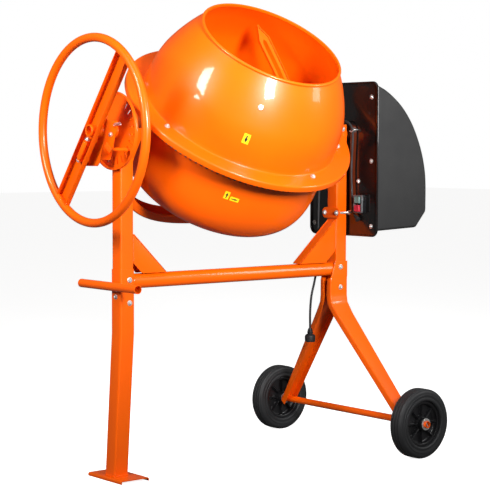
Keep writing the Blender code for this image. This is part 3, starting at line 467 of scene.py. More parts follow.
# %% [markdown]
# ## The cord comes first
# A mains lead leaves a tapered gland under the switch, climbs the panel, crosses behind the top of
# the upright and hangs inside the frame to its plug.  It is a curve object with a round bevel: its
# own line is then its centreline, and its length can be measured.

# %% Cord route and lead
CORD_DIAMETER = 0.008
GLAND_BASE = np.array([PANEL_X - 0.0110, -0.0920, 0.8060])
ROUTE = [(-0.0110, -0.0729, 0.8251), (-0.0110, -0.0658, 0.8322), (-0.0112, -0.0600, 0.8460),
         (-0.0118, -0.0585, 0.8700), (-0.0120, -0.0560, 0.9200), (-0.0120, -0.0530, 0.9800),
         (-0.0120, -0.0560, 1.0500), (-0.0120, -0.0590, 1.1000), (-0.0135, -0.0560, 1.1350),
         (-0.0180, -0.0400, 1.1560), (-0.0260, -0.0140, 1.1625), (-0.0380, 0.0120, 1.1620),
         (-0.0500, 0.0340, 1.1500), (-0.0600, 0.0450, 1.1150), (-0.0660, 0.0500, 1.0500),
         (-0.0690, 0.0530, 0.9500), (-0.0700, 0.0550, 0.8700), (-0.0710, 0.0560, 0.7900),
         (-0.0720, 0.0560, 0.7100), (-0.0760, 0.0560, 0.6400), (-0.0880, 0.0560, 0.5850),
         (-0.1000, 0.0580, 0.5350), (-0.1040, 0.0600, 0.4800), (-0.1040, 0.0600, 0.4200)]
cord_line = smooth(np.array(ROUTE) + (PANEL_X, 0, 0), 150)

curve = bpy.data.curves.new("lead", "CURVE")
curve.dimensions = "3D"
curve.bevel_depth = CORD_DIAMETER / 2
curve.bevel_resolution = 4
curve.use_fill_caps = True
spline = curve.splines.new("POLY")
spline.points.add(len(cord_line) - 1)
spline.points.foreach_set("co", np.hstack([cord_line, np.ones((len(cord_line), 1))]).ravel())
curve.materials.append(RUBBER)
lead = bpy.data.objects.new("lead", curve)
bpy.context.scene.collection.objects.link(lead)
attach(lead, "base")
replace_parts(lead, "power_cord")

# %% [markdown]
# The plug is a moulded round body with a waist to pull it by, without its pins; the gland is a
# ribbed taper that stops the lead from bending sharply.  Both are profiles turned about an axis.

# %% Plug and gland
PLUG_TOP = cord_line[-1]
plug_profile = smooth([(0.0045, 0.0), (0.0062, -0.003), (0.0074, -0.012), (0.0090, -0.020),
                       (0.0150, -0.0245), (0.0186, -0.030), (0.0189, -0.044), (0.0176, -0.0500)], 40)
plug_body = lathe(np.vstack([[(0, 0)], plug_profile, [(0, -0.0500)]]), PLUG_TOP, Z, 48, closed=False)
GROOVE_PITCH = 0.0035
grooves = [lathe(collar(0.0060 + 0.0012 * k, 0.0085 + 0.0010 * k, -0.0055 - GROOVE_PITCH * k,
                        -0.0072 - GROOVE_PITCH * k, 0.0004, 2), PLUG_TOP, Z, 40) for k in range(4)]
plug = piece("plug", [plug_body, *grooves], RUBBER, "base", ["power_plug"])

GLAND_AXIS = unit((0.0, 1.0, 1.0))
ribs = np.linspace(0.013, 0.0255, 60)
taper = 0.0075 - 0.0013 * (ribs - 0.013) / 0.0125 - 0.0005 * (np.sin(ribs * 2200) > 0)
gland_profile = np.vstack([[(0.0, 0.0)], rounded([(0.0098, 0.0), (0.0098, 0.0095), (0.0076, 0.0125)],
                                                 (0.0006, 0.0012, 0.0006), 3)[1:],
                           np.stack([taper, ribs], axis=1), [(0.0, 0.0258)]])
piece("gland", [lathe(gland_profile, GLAND_BASE, GLAND_AXIS, 40, closed=False)], RUBBER, "base",
      ["cable_gland"])
print("plug top", PLUG_TOP.round(3))

# %% [markdown]
# ## Drum
# The drum is two pressed shells bolted together at a flange: a cone that closes in to a rolled
# mouth, and a pot whose wall turns softly into its flat bottom.  Each is a profile turned about the
# drum's axis.  A curve through a few points gives the pressing's long soft bend, and small arcs
# give the folds.


# %% Drum shells
DRUM_CENTRE = np.array([DRUM_X, 0.0, TILT_Z])
DRUM_SIDE = np.cross(DRUM_AXIS, X)
FLANGE_TOP = 0.071


def in_drum(points):
    """Points given as across, forward and along the drum's axis."""
    return placed(points, DRUM_CENTRE, X, DRUM_SIDE, DRUM_AXIS)


def wall(outer, thickness):
    """A profile and its copy moved inwards, square to the line, as one closed outline."""
    run = unit(np.gradient(outer, axis=0))
    inner = outer + np.stack([-run[:, 1], run[:, 0]], axis=1) * thickness
    return outer, inner[::-1]


CONE_SHEET, POT_SHEET = 0.0022, 0.002
MOUTH_R, BEAD_R, BEAD_ALONG = 0.2400, 0.0055, 0.3503
cone = smooth([(0.3415, FLANGE_TOP + 0.006), (0.3405, 0.105), (0.3365, 0.145), (0.3275, 0.187),
               (0.3130, 0.225), (0.2935, 0.265), (0.2700, 0.305), (MOUTH_R, 0.3473)], 48)
cone_out, cone_in = wall(cone, CONE_SHEET)
bead_angle = np.radians(np.linspace(-150, 130, 18))
bead = np.stack([MOUTH_R + BEAD_R * np.cos(bead_angle), BEAD_ALONG + BEAD_R * np.sin(bead_angle)], axis=1)
root = rounded([(0.3392, 0.0680), (0.4000, 0.0680), (0.4000, 0.0500), (0.4030, 0.0500),
                (0.4030, FLANGE_TOP), (0.3418, FLANGE_TOP), (0.3415, FLANGE_TOP + 0.010)],
               (0.0004, 0.0030, 0.0006, 0.0006, 0.0060, 0.0050, 0.0001), 5)
upper = lathe(np.vstack([root, cone_out[3:], bead, cone_in[:-3]]), DRUM_CENTRE, DRUM_AXIS, 160)
cone_shell = piece("drum_cone", [upper], PAINT, "drum", ["drum_upper"])

KNUCKLE, BOTTOM, POT_CURVE = -0.080, -0.260, 0.77
bend = np.linspace(0, np.pi / 2, 40)
pot = np.stack([0.140 + 0.202 * np.clip(np.cos(bend), 0, 1) ** POT_CURVE,
                KNUCKLE + (BOTTOM - KNUCKLE) * np.sin(bend) ** POT_CURVE], axis=1)
pot_line = np.vstack([[(0.342, 0.0674)], [(0.342, z) for z in (0.03, -0.02, -0.06)], pot,
                      [(0.060, BOTTOM), (0.0165, BOTTOM)]])
pot_out, pot_in = wall(pot_line[::-1], POT_SHEET)
lower = lathe(np.vstack([pot_out, pot_in]), DRUM_CENTRE, DRUM_AXIS, 160)
pot_shell = piece("drum_pot", [lower], PAINT, "drum", ["drum_lower"])
print("drum shells", len(cone_shell.data.polygons) + len(pot_shell.data.polygons), "faces")

# %% [markdown]
# The fasteners are hexagon heads with a washer face, so a profile turned with six sides gives the
# head and a round one the washer and the shank's domed end.


# %% Fasteners
def hexagon(radius, base, top, axis, height):
    """A chamfered six-sided head on a washer, standing at a place along an axis."""
    head = lathe([(0, 0.0), (radius, 0.0), (radius, height * 0.78), (radius * 0.86, height), (0, height)],
                 base, axis, 6, closed=False)
    washer = lathe(rounded([(0, -top), (radius * 1.28, -top), (radius * 1.28, 0.0002), (0, 0.0002)],
                           (0, 0.0004, 0.0004, 0), 2), base, axis, 28, closed=False)
    stub = lathe([(0, height - 0.001), (radius * 0.50, height - 0.001), (radius * 0.50, height + 0.0016),
                  (radius * 0.36, height + 0.0026), (0, height + 0.0026)], base, axis, 16, closed=False)
    return [head, washer, stub]


flange_bolts = []
for degrees in (12, 102, 150, 192, 282, 330):
    turn = math.radians(degrees)
    at = in_drum(np.array([0.356 * math.cos(turn), 0.356 * math.sin(turn), FLANGE_TOP + 0.0012]))
    flange_bolts += hexagon(0.0072, at, 0.0012, DRUM_AXIS, 0.0050)
piece("flange_bolts", flange_bolts, ZINC, "drum", sharp=28)

blade_bolts = []
for turn, along in ((235, 0.262), (55, 0.262)):
    k = int(np.abs(cone[:, 1] - along).argmin())
    run = unit(cone[k + 1] - cone[k - 1])
    angle = math.radians(turn)
    out = unit(run[1] * (math.cos(angle) * X + math.sin(angle) * DRUM_SIDE) - run[0] * DRUM_AXIS)
    at = in_drum(np.array([cone[k, 0] * math.cos(angle), cone[k, 0] * math.sin(angle), cone[k, 1]]))
    blade_bolts += hexagon(0.0066, at + out * 0.0012, 0.0012, out, 0.0046)
piece("blade_bolts", blade_bolts, ZINC, "drum", sharp=28)
print("fasteners on the drum:", 6 + 2)

# %% [markdown]
# The mixing blades are pressed strips with a long slot near the mouth.  Their solids give the run of
# each strip; the finished strip is a folded section carried along a smooth line, with stiffening lips.


# %% Blades
def blade(name, turn, node_name):
    """A shallow channel carried along a curve through the drum; turn spins it about the drum's axis."""
    line = smooth([(0.104, 0.212, 0.294), (0.138, 0.140, 0.238), (0.168, 0.071, 0.186),
                   (0.210, -0.065, 0.090), (0.240, -0.190, 0.000)], 80)
    c, s = math.cos(turn), math.sin(turn)
    spin = np.array([[c, -s, 0], [s, c, 0], [0, 0, 1]])
    across = unit((0.85, 0.20, 0.35))
    run = unit(np.gradient(line, axis=0))
    normal = unit(np.cross(run, across))
    wide = np.cross(normal, run)
    along = np.linspace(0, 1, len(line))
    taper = np.clip(along / 0.10, 0.16, 1)
    rail = np.clip((along - 0.10) / 0.02, 0, 1) * np.clip((0.52 - along) / 0.02, 0, 1)
    parts = []
    for side in (-1, 1):
        inner_edge = side * 0.0075 * rail
        outer_edge = side * 0.022 * taper
        edges = [(outer_edge, 0.009), (outer_edge, 0.0), (inner_edge, 0.0), (inner_edge, 0.0024),
                 (outer_edge - side * 0.0024, 0.0024), (outer_edge - side * 0.0024, 0.009)]
        rows = np.stack([line + wide * a[:, None] + normal * h for a, h in edges], axis=1)
        parts.append(skin(in_drum(rows @ spin.T)))
    return piece(name, parts, PAINT, "drum", [node_name], sharp=30)


blade("blade_a", 0.0, "blade_one")
blade("blade_b", math.pi, "blade_two")

# %% [markdown]
# The ring gear is cast with teeth on its lower face.  The teeth are a square-ish wave in the height
# of that face, so the whole gear is still one grid: angle by profile.


# %% Ring gear and pinion
TEETH = 126
PINION_TEETH = 12
around = np.linspace(0, 2 * np.pi, TEETH * 8, endpoint=False)
wave = np.clip(1.6 * np.cos(around * TEETH), -1, 1)
gear_profile = np.array([(0.3428, 0.0675), (0.3428, 0.0615), (0.3560, 0.0610), (0.3515, 0.0440),
                         (0.3515, 0.0395), (0.3855, 0.0395), (0.3855, 0.0440), (0.3640, 0.0450),
                         (0.3640, 0.0675)])
tooth_rows = np.array([0, 0, 0, 0, 1, 1, 0, 0, 0])
heights = gear_profile[None, :, 1] + tooth_rows[None, :] * 0.0034 * wave[:, None]
radii = np.broadcast_to(gear_profile[None, :, 0], heights.shape)
gear_points = np.stack([radii * np.cos(around)[:, None], radii * np.sin(around)[:, None], heights], axis=-1)
gear_faces = grid_faces(len(around), len(gear_profile), True, True)
piece("gear_ring", [(in_drum(gear_points), gear_faces)], IRON, "drum", ["ring_gear"])

pinion_low, pinion_high = low("pinion")[0], high("pinion")[0]
turn = np.linspace(0, 2 * np.pi, PINION_TEETH * 16, endpoint=False)
tip = 0.0318 + 0.0032 * np.clip(1.7 * np.cos(turn * PINION_TEETH), -1, 1)
rings = [np.stack([np.full_like(turn, x), r * np.sin(turn), r * np.cos(turn)], axis=1)
         for x, r in ((pinion_low, np.full_like(turn, 0.0095)), (pinion_low, tip - 0.0008),
                      (pinion_low + 0.0008, tip), (pinion_high - 0.0008, tip), (pinion_high, tip - 0.0008),
                      (pinion_high, np.full_like(turn, 0.0095)))]
pinion_points = np.array(rings) + (0, 0, TILT_Z)
pinion_faces = grid_faces(len(rings), len(turn), True, True)
piece("pinion_gear", [(pinion_points, pinion_faces)], IRON, "drive_shaft", ["pinion"])
print("gear teeth:", TEETH, "and", PINION_TEETH)

# %% [markdown]
# ## Yoke
# A pressed channel bow carries the drum from both pivots.  Its line is a squared-off half ellipse,
# and its section is folded sheet with the web outside, carried along that line.

# %% Yoke bow
half_turn = np.linspace(0, np.pi, 121)
power = 2 / 2.75
bow_x = -np.sign(np.cos(half_turn)) * np.abs(np.cos(half_turn)) ** power * 0.405
bow_depth = 0.353 * np.sin(half_turn) ** power
bow = np.stack([bow_x, bow_depth], axis=1)
bow[0] = (-0.405, -0.030)
bow[-1] = (0.405, -0.030)
bow = smooth(bow[np.r_[0, 3:118:2, 120]], 150)
run = unit(np.gradient(bow, axis=0))
outward = np.stack([-run[:, 1], run[:, 0]], axis=1)
section = folded([(-0.0285, -0.015), (-0.0285, 0.0135), (0.0285, 0.0135), (0.0285, -0.015)], 0.003, 0.004)
flat = bow[:, None] + outward[:, None] * section[None, :, 1:]
bow_width = np.broadcast_to(section[None, :, 0], flat.shape[:2])
bow_points = np.stack([flat[..., 0], bow_width, -flat[..., 1]], axis=-1)
piece("yoke_bow", [skin(in_drum(bow_points))], PAINT, "yoke", ["yoke"])

# %% [markdown]
# ## Frame tubes
# The uprights are square tube with drawn corners; the crossbar, handle and axle are round tube with
# open ends.  A tube is its outer outline and its inner outline carried along a line, joined at the ends.


# %% Straight and bent tubes
def hollow(outer, inner, stations):
    """Outer and inner outlines at each (x, z) station, joined into one tube with open ends."""
    def rings(outline):
        return np.array([np.column_stack([outline[:, 0] + x, outline[:, 1], np.full(len(outline), z)])
                         for x, z in stations])
    return skin(np.concatenate([rings(outer), rings(inner)[::-1]]), closed=True)


def square_tube(name, side, thickness, stations, node_name):
    """Square pipe of the frame; its corners are tighter inside than outside."""
    bore = side - 2 * thickness
    outer, inner = rectangle(side, side, side * 0.10), rectangle(bore, bore, side * 0.06)
    return piece(name, [hollow(outer, inner, stations)], PAINT, "base", [node_name])


for side, x in (("left", LEFT_X), ("right", RIGHT_X)):
    upright = side + "_upright"
    square_tube("upright_" + side, TUBE, 0.003, [(x, low(upright)[2]), (x, high(upright)[2])], upright)
leg_line = [(LEFT_X, high("left_leg")[2]), (LEFT_X, 0.470), (LEFT_X - 0.0005, 0.461),
            (LEFT_X - 0.026, low("left_leg")[2])]
square_tube("leg_sleeve", 0.054, 0.0016, leg_line, "left_leg")

BAR_R, BAR_BORE = 0.0242, 0.0217
bar_low, bar_high = low("crossbar"), high("crossbar")
bar_z = middle("crossbar")[2]
bar_line = np.linspace((bar_low[0], 0, bar_z), (bar_high[0], 0, bar_z), 3)
piece("crossbar_tube", [tube_along(bar_line, BAR_R, BAR_BORE, 40)], PAINT, "base", ["crossbar"])

handle = middle("transport_handle")
handle_line = np.array([[handle[0], y, handle[2]] for y in (low("transport_handle")[1],
                                                            high("transport_handle")[1])])
piece("handle_tube", [tube_along(handle_line, 0.014, 0.012, 32)], PAINT, "base", ["transport_handle"])

axle_line = np.array([[AXLE_X, y, AXLE_Z] for y in (low("axle")[1], high("axle")[1])])
piece("axle_tube", [tube_along(axle_line, 0.012, 0.0095, 32)], PAINT, "base", ["axle"])
print("tubes done")

# %% [markdown]
# ## Welds
# A hand-laid weld is a thin bead with overlapping ripples.  A tube whose radius swells in a steady
# rhythm along its line gives that, and the line follows the joint.


# %% Weld beads
def bead_line(points, radius=0.0026, pitch=0.0042):
    """A closed-ended tube along a line; its radius swells once per ripple and dies away at both ends."""
    path = smooth(points, 160)
    length = np.linalg.norm(np.diff(path, axis=0), axis=1).sum()
    t = np.linspace(0, 1, len(path))
    swell = radius * (0.82 + 0.18 * np.abs(np.sin(np.pi * t * length / pitch)))
    swell = swell * np.clip(np.minimum(t, 1 - t) * length / 0.002, 0.15, 1)
    return skin(path[:, None] + swell[:, None, None] * rings_along(path, 8, (0.31, 0.27, 0.91)))


def weld_ring(centre, axis, radius, bead=0.0026):
    """A bead round a tube where it meets a face."""
    w = unit(axis)
    u = unit(np.cross(w, (0.3, 0.5, 0.8)))
    v = np.cross(w, u)
    a = np.linspace(0, 2 * np.pi, 120, endpoint=False)[:, None]
    swell = bead * (0.82 + 0.18 * np.abs(np.sin(a * radius * 105)))
    b = np.linspace(0, 2 * np.pi, 8, endpoint=False)[None, :]
    r = radius + swell * np.cos(b)
    h = swell * np.sin(b)
    points = placed(np.stack([r * np.cos(a), r * np.sin(a), h], axis=-1), centre, u, v, w)
    return points, grid_faces(120, 8, True, True)


BAR_TOP = bar_z + BAR_R
left_face = LEFT_X + TUBE / 2
right_face = RIGHT_X - TUBE / 2
welds = [weld_ring((LEFT_X + 0.027, 0, bar_z), X, 0.0245), weld_ring((right_face, 0, bar_z), X, 0.0245)]
for y in (-0.0205, 0.0205):
    lean = BAR_TOP - 0.0115
    welds.append(bead_line([(left_face + 0.040, y, lean), (left_face + 0.132, y, lean)], 0.0024))
    welds.append(bead_line([(right_face - 0.048, y, lean), (right_face - 0.165, y, lean)], 0.0024))
    welds.append(bead_line([(left_face + 0.0022, y, 0.700), (left_face + 0.0022, y, 0.783)], 0.0024))
    welds.append(bead_line([(right_face, y, 0.706), (right_face, y, 0.803)], 0.0028))
handle_side = handle[0] + 0.012
for z in (handle[2] + 0.0095, handle[2] - 0.0095):
    welds.append(bead_line([(handle_side, -0.024, z), (handle_side, 0.024, z)]))
piece("frame_welds", welds, PAINT, "base")
print("weld beads:", len(welds))

# %% [markdown]
# ## Braces, foot and legs
# Folded sheet shows its bends as round ridges that catch the light.  A plate is an outline raised
# with rounded rims; a folded piece is the outline of bent sheet carried along a line.


# %% Gussets
def in_side_view(points):
    """Outline (x, z) raised along y."""
    return placed(points, (0, 0, 0), X, Z, -Y)


def gusset(name, corner, side, rise, reach, node_name):
    """Two cheeks with a clipped inner corner and a web along the slope."""
    base = BAR_TOP + GAP
    notch_x, notch_z = reach * 0.27, rise * 0.27
    cheek = np.array([(0, notch_z), (notch_x, 0), (reach, 0), (0.004, rise), (0, rise)])
    cheek = rounded(np.column_stack([corner + side * cheek[:, 0], base + cheek[:, 1]]), 0.002, 3)
    parts = []
    for y in (-0.020, 0.017):
        points, faces = plate(cheek, -y - 0.003, -y, 0.0007)
        parts.append((in_side_view(points), faces))
    length = math.hypot(reach, rise)
    along = np.array([-side * reach, 0, rise]) / length
    across = np.cross(along, Y) * side
    centre = np.array([corner + side * reach, 0, base])
    web, faces = plate(rectangle(length - 0.006, 0.040, 0.002), 0, 0.003, 0.0007)
    across = across * (1 if across[2] < 0 else -1)
    parts.append((placed(web, centre + along * length / 2, along, Y, across), faces))
    return piece(name, parts, PAINT, "base", [node_name])


gusset("brace_left", high("left_upright")[0] + 0.0025, 1, 0.128, 0.134, "left_gusset")
gusset("brace_right", low("right_upright")[0] - GAP, -1, 0.150, 0.168, "right_gusset")

# %% Foot plate
foot_low, foot_high = low("foot_plate"), high("foot_plate")
foot_mid = (foot_low[0] + foot_high[0]) / 2
half_x = (foot_high[0] - foot_low[0]) / 2
foot_section = folded([(-half_x + 0.0015, 0.0), (-half_x + 0.0015, 0.0095), (half_x - 0.0015, 0.0095),
                       (half_x - 0.0015, 0.0)], 0.003, 0.002)
foot_rows = np.array([[(foot_mid + x, y, z) for x, z in foot_section] for y in (foot_low[1], foot_high[1])])
foot_parts = [skin(foot_rows)]
for y0 in (-0.0275, 0.0275):
    foot_parts.append(bead_line([(LEFT_X - 0.052, y0, 0.0125), (LEFT_X + 0.0005, y0, 0.0125)], 0.0024))
foot_parts.append(bead_line([(LEFT_X - 0.0535, -0.026, 0.0125), (LEFT_X - 0.0535, 0.026, 0.0125)], 0.0024))
foot_parts.append(bead_line([(LEFT_X + 0.0012, -0.026, 0.0125), (LEFT_X + 0.0012, 0.026, 0.0125)], 0.0024))
piece("foot", foot_parts, PAINT, "base", ["foot_plate"])
print("braces and foot done")

# %% [markdown]
# Each axle leg is one sheet, flat where it is bolted to the upright and folded into a channel below.
# Its section changes along the way, so it is given at a few stations and blended between them in
# straight steps; the web always looks outwards.


# %% Axle legs
def leg(name, sign, node_name):
    """Stations of (left, right, y, z, flange depth, flange direction), blended into one."""
    outer = TUBE / 2 + GAP + 0.003
    left, right = RIGHT_X - 0.054, RIGHT_X + 0.028
    drop = unit((0.300, 0.420))
    flat_in = np.array([-sign, 0.0])
    low_in = np.array([-sign * drop[1], -drop[0]])
    middle_in = unit(flat_in + low_in)
    stations = [(RIGHT_X - 0.031, right, sign * outer, 0.662, 0.0034, flat_in),
                (left + 0.004, right, sign * outer, 0.608, 0.0034, flat_in),
                (left, right, sign * outer, 0.596, 0.020, flat_in),
                (left, right, sign * outer, 0.540, 0.022, flat_in),
                (left + 0.001, right, sign * (outer + 0.004), 0.516, 0.022, middle_in),
                (left + 0.008, right + 0.001, sign * (outer + 0.030), 0.478, 0.024, low_in),
                (AXLE_X - 0.025, AXLE_X + 0.025, sign * 0.3335, 0.1150, 0.026, low_in)]
    values = np.array([[a, b, y, z, depth, *into] for a, b, y, z, depth, into in stations])
    last = len(values) - 1
    steps = np.concatenate([np.linspace(k, k + 1, 5, endpoint=False) for k in range(last)] + [[last]])
    rows = np.stack([np.interp(steps, np.arange(last + 1), column) for column in values.T], axis=1)
    rows[:, 5:] = unit(rows[:, 5:])
    sections = []
    for a, b, y, z, depth, in_y, in_z in rows:
        line = [(a + 0.0015, depth), (a + 0.0015, 0.0015), (b - 0.0015, 0.0015), (b - 0.0015, depth)]
        s = folded(line, 0.003, min(0.003, max(0.0005, depth - 0.0032) * 0.5), 0.0004)
        sections.append(np.column_stack([s[:, 0], y + s[:, 1] * in_y, z + s[:, 1] * in_z]))
    return piece(name, [skin(sections)], PAINT, "base", [node_name], sharp=45)


leg("leg_near", -1, "near_axle_leg")
leg("leg_far", 1, "far_axle_leg")
leg_welds = []
for sign in (-1, 1):
    leg_welds.append(weld_ring((AXLE_X, sign * 0.3338, AXLE_Z), Y, 0.0125, 0.0022))
    slant = unit((0, 1, sign * 0.35))
    leg_welds.append(weld_ring((AXLE_X, sign * 0.3155, AXLE_Z + 0.002), slant, 0.0128, 0.0022))
piece("axle_welds", leg_welds, PAINT, "base")
print("legs done")

# %% [markdown]
# ## Wheels
# A moulded tyre with three ridges round its tread, on a black plastic wheel with eight pockets
# between its spokes.  The tyre is one turned profile.  The wheel's web is a polar grid whose
# depth drops inside each pocket, so the pockets have sloping walls, as a moulding needs.

# %% Tyres
WHEEL_Y = 0.369


def tyre(name, sign, body, node_name):
    """Three ridges round the tread, stepped side walls, turned about the axle."""
    tread = [(0.1165, -0.0215), (0.1198, -0.0190), (0.1198, -0.0140), (0.1170, -0.0132), (0.1170, -0.0118),
             (0.1200, -0.0110), (0.1200, -0.0018), (0.1172, -0.0010)]
    tread += [(r, -z) for r, z in tread[::-1]]
    side_low = [(0.0783, -0.0205), (0.0800, -0.0262), (0.0840, -0.0285), (0.0900, -0.0280),
                (0.0912, -0.0268), (0.1000, -0.0285), (0.1012, -0.0272), (0.1090, -0.0270),
                (0.1140, -0.0250)]
    profile = rounded(side_low + tread + [(r, -z) for r, z in side_low[::-1]], 0.0007, 3)
    at = (AXLE_X, sign * WHEEL_Y, AXLE_Z)
    return piece(name, [lathe(profile, at, Y, 128)], TYRE, body, [node_name], sharp=50)


def wheel(name, sign, body, node_name):
    """Rim, hub and web of one wheel; the web's depth is a function of radius and angle."""
    at = np.array([AXLE_X, sign * WHEEL_Y, AXLE_Z])
    rim_profile = rounded([(0.0690, -0.0190), (0.0778, -0.0200), (0.0778, 0.0200), (0.0690, 0.0190)],
                          0.0012, 3)
    hub_profile = rounded([(0.0127, -0.0316), (0.0205, -0.0316), (0.0235, -0.0120), (0.0235, 0.0120),
                           (0.0205, 0.0316), (0.0127, 0.0316)], 0.0012, 3)
    angle = np.linspace(0, 2 * np.pi, 8 * 24, endpoint=False)[:, None]
    radius = np.linspace(0.0215, 0.0710, 22)[None, :]
    spoke = np.clip(1 - np.abs(np.sin(angle * 4)) * radius / 0.0085 / 1.9, 0, 1)
    ends = np.clip(1 - (radius - 0.0215) / 0.0075, 0, 1) + np.clip(1 - (0.0710 - radius) / 0.0060, 0, 1)
    ridge = np.clip(np.maximum(spoke ** 0.6, ends), 0, 1)
    depth = 0.0040 + 0.0125 * ridge * (3 - 2 * ridge) * ridge
    parts = [lathe(rim_profile, at, Y, 96), lathe(hub_profile, at, Y, 64)]
    u, v = np.cos(angle) * radius, np.sin(angle) * radius
    front = np.stack([u, v, -depth + 0 * u], axis=-1)
    back = np.stack([u, v, depth + 0 * u], axis=-1)
    web = np.concatenate([front, back[:, ::-1]], axis=1)
    parts.append((placed(web, at, X, Z, Y), grid_faces(web.shape[0], web.shape[1], True, True)))
    return piece(name, parts, HUB, body, [node_name], sharp=50)


for side, sign in (("near", -1), ("far", 1)):
    tyre(side + "_tyre_ribbed", sign, side + "_wheel", side + "_tyre")
    wheel(side + "_wheel_moulded", sign, side + "_wheel", side + "_wheel_rim")
print("wheels done")

# %% [markdown]
# Outside each wheel a pressed washer and a split pin keep it on the axle.  The pin is round wire bent
# back on itself: an eye, two legs side by side, and tips spread apart.

# %% Washers and split pins
for side, sign in (("near", -1), ("far", 1)):
    face = middle(side + "_washer")
    profile = collar(0.0124, 0.0200, -0.0010, 0.0010, 0.0005)
    piece(side + "_washer_pressed", [lathe(profile, face, Y, 56)], ZINC, "base", [side + "_washer"])
    pin = middle(side + "_cotter_pin")
    lean = unit((math.sin(math.radians(-30)), 0, math.cos(math.radians(-30))))
    flat = np.cross(lean, Y)
    shape = smooth([(0.0040, -0.0195), (0.0012, -0.0150), (0.0011, 0.010), (0.0013, 0.0150),
                    (0.0036, 0.0180), (0.0036, 0.0208), (0.0, 0.0222), (-0.0036, 0.0208),
                    (-0.0036, 0.0180), (-0.0013, 0.0150), (-0.0011, 0.010), (-0.0012, -0.0135),
                    (-0.0036, -0.0170)], 90)
    path = pin + shape[:, :1] * flat + shape[:, 1:] * lean
    piece(side + "_split_pin", [tube_along(path, 0.0010, sides=10)], ZINC, "base", [side + "_cotter_pin"])
inner_washers = []
for sign in (-1, 1):
    profile = collar(0.0124, 0.0200, -0.0007, 0.0007, 0.0004)
    inner_washers.append(lathe(profile, (AXLE_X, sign * 0.3359, AXLE_Z), Y, 56))
piece("inner_washers", inner_washers, ZINC, "base")
print("washers and pins done")

# %% [markdown]
# ## Handwheel and lock
# A bent tube ring with a channel spoke across it.  The spoke hinges on a bolt beside the hub, so the
# wheel can be rocked to move its tooth in or out of a slot in the disc on the upright.

# %% Handwheel
HUB_CENTRE = np.array([HANDWHEEL_X, 0.0, TILT_Z])
SPOKE_SIDE = np.cross(SPOKE_AXIS, X)


def in_spoke(points):
    """Points given as x, across the spoke and along it."""
    return placed(points, HUB_CENTRE, X, SPOKE_SIDE, SPOKE_AXIS)


ring_angle = np.linspace(0, 2 * np.pi, 48, endpoint=False)
RING_R, RING_TUBE_R = 0.291, 0.014
ring_profile = np.stack([RING_R + RING_TUBE_R * np.cos(ring_angle),
                         RING_TUBE_R * np.sin(ring_angle)], axis=1)
piece("handwheel_ring", [lathe(ring_profile, HUB_CENTRE, X, 180)], PAINT, "handwheel", ["handwheel_rim"])

back, front = 0.0110, -0.0100
spoke_half, spoke_web = 0.02975, back - 0.00125
spoke_section = folded([(front, -spoke_half), (spoke_web, -spoke_half), (spoke_web, spoke_half),
                        (front, spoke_half)], 0.0025, 0.003)
reach = 0.2800
rows = np.array([[(x, y, z) for x, y in spoke_section] for z in (-reach, reach)])
spoke_parts = [(in_spoke(rows), skin(rows)[1])]
for end in (-1, 1):
    for y in (-0.029, 0.029):
        tip = math.sqrt(0.2785 ** 2 - y * y) * end
        spoke_parts.append(bead_line(in_spoke(np.array([(-0.0085, y, tip), (0.009, y, tip)])), 0.0022))
piece("handwheel_channel", spoke_parts, PAINT, "handwheel", ["handwheel_spoke"])

barrel_x = JOINTS["handwheel_rock"]["pos_m"][0] - HANDWHEEL_X
barrel_low, barrel_high = -0.108, -0.045
barrel_at = in_spoke(np.array([barrel_x, 0.0, 0.0]))
barrel_profile = collar(0.0046, 0.0108, barrel_low, barrel_high, 0.0006)
piece("hinge_tube", [lathe(barrel_profile, barrel_at, SPOKE_AXIS, 40)], PAINT, "handwheel", ["hinge_barrel"])
pin_low, pin_high, pin_r = -0.1178, -0.0352, 0.0040
bolt_parts = hexagon(0.0072, in_spoke(np.array([barrel_x, 0, pin_high])), 0.0010, SPOKE_AXIS, 0.0054)
bolt_parts += hexagon(0.0072, in_spoke(np.array([barrel_x, 0, pin_low])), 0.0010, -SPOKE_AXIS, 0.0054)
bolt_parts.append(lathe([(0, pin_low), (pin_r, pin_low), (pin_r, pin_high), (0, pin_high)],
                        barrel_at, SPOKE_AXIS, 20, closed=False))
piece("hinge_pin", bolt_parts, ZINC, "yoke", ["hinge_bolt"], sharp=28)

shaft_low, shaft_high = low("tilt_shaft")[0], high("tilt_shaft")[0]
shaft_profile = collar(0.015, 0.019, shaft_low, shaft_high, 0.0006)
piece("shaft_tube", [lathe(shaft_profile, (0, 0, TILT_Z), X, 56)], PAINT, "yoke", ["tilt_shaft"])
print("handwheel done")

# %% [markdown]
# The hub bracket is a plate behind the spoke with a flange turned back along its near edge, two ears
# for the hinge bolt and a cup-square bolt through the flange.

# %% Hub bracket, tooth and return spring
PLATE_X = 0.030
bracket_outline = rounded([(-0.042, 0.036), (0.036, 0.044), (0.084, -0.056), (0.084, -0.112),
                           (0.018, -0.112), (0.003, -0.098)], (0.004, 0.004, 0.006, 0.005, 0.005, 0.006), 4)
points, faces = plate(bracket_outline, PLATE_X, PLATE_X + 0.004, 0.0007)
bracket_parts = [(placed(points, HUB_CENTRE, Y, Z, X), faces)]
edge_run = unit((0.0, 0.003 + 0.042, -0.098 - 0.036))
edge_out = np.cross(edge_run, X)
edge_length = math.hypot(0.045, 0.134) - 0.012
points, faces = plate(rectangle(0.040, edge_length, 0.004), 0, 0.003, 0.0007)
edge_mid = HUB_CENTRE + np.array([PLATE_X + 0.0215, (0.003 - 0.042) / 2, (0.036 - 0.098) / 2])
if edge_out[1] > 0:
    edge_out = -edge_out
bracket_parts.append((placed(points, edge_mid - edge_out * 0.003, X, edge_run, edge_out), faces))
ear_near, ear_far = barrel_x - 0.006, PLATE_X + 0.001
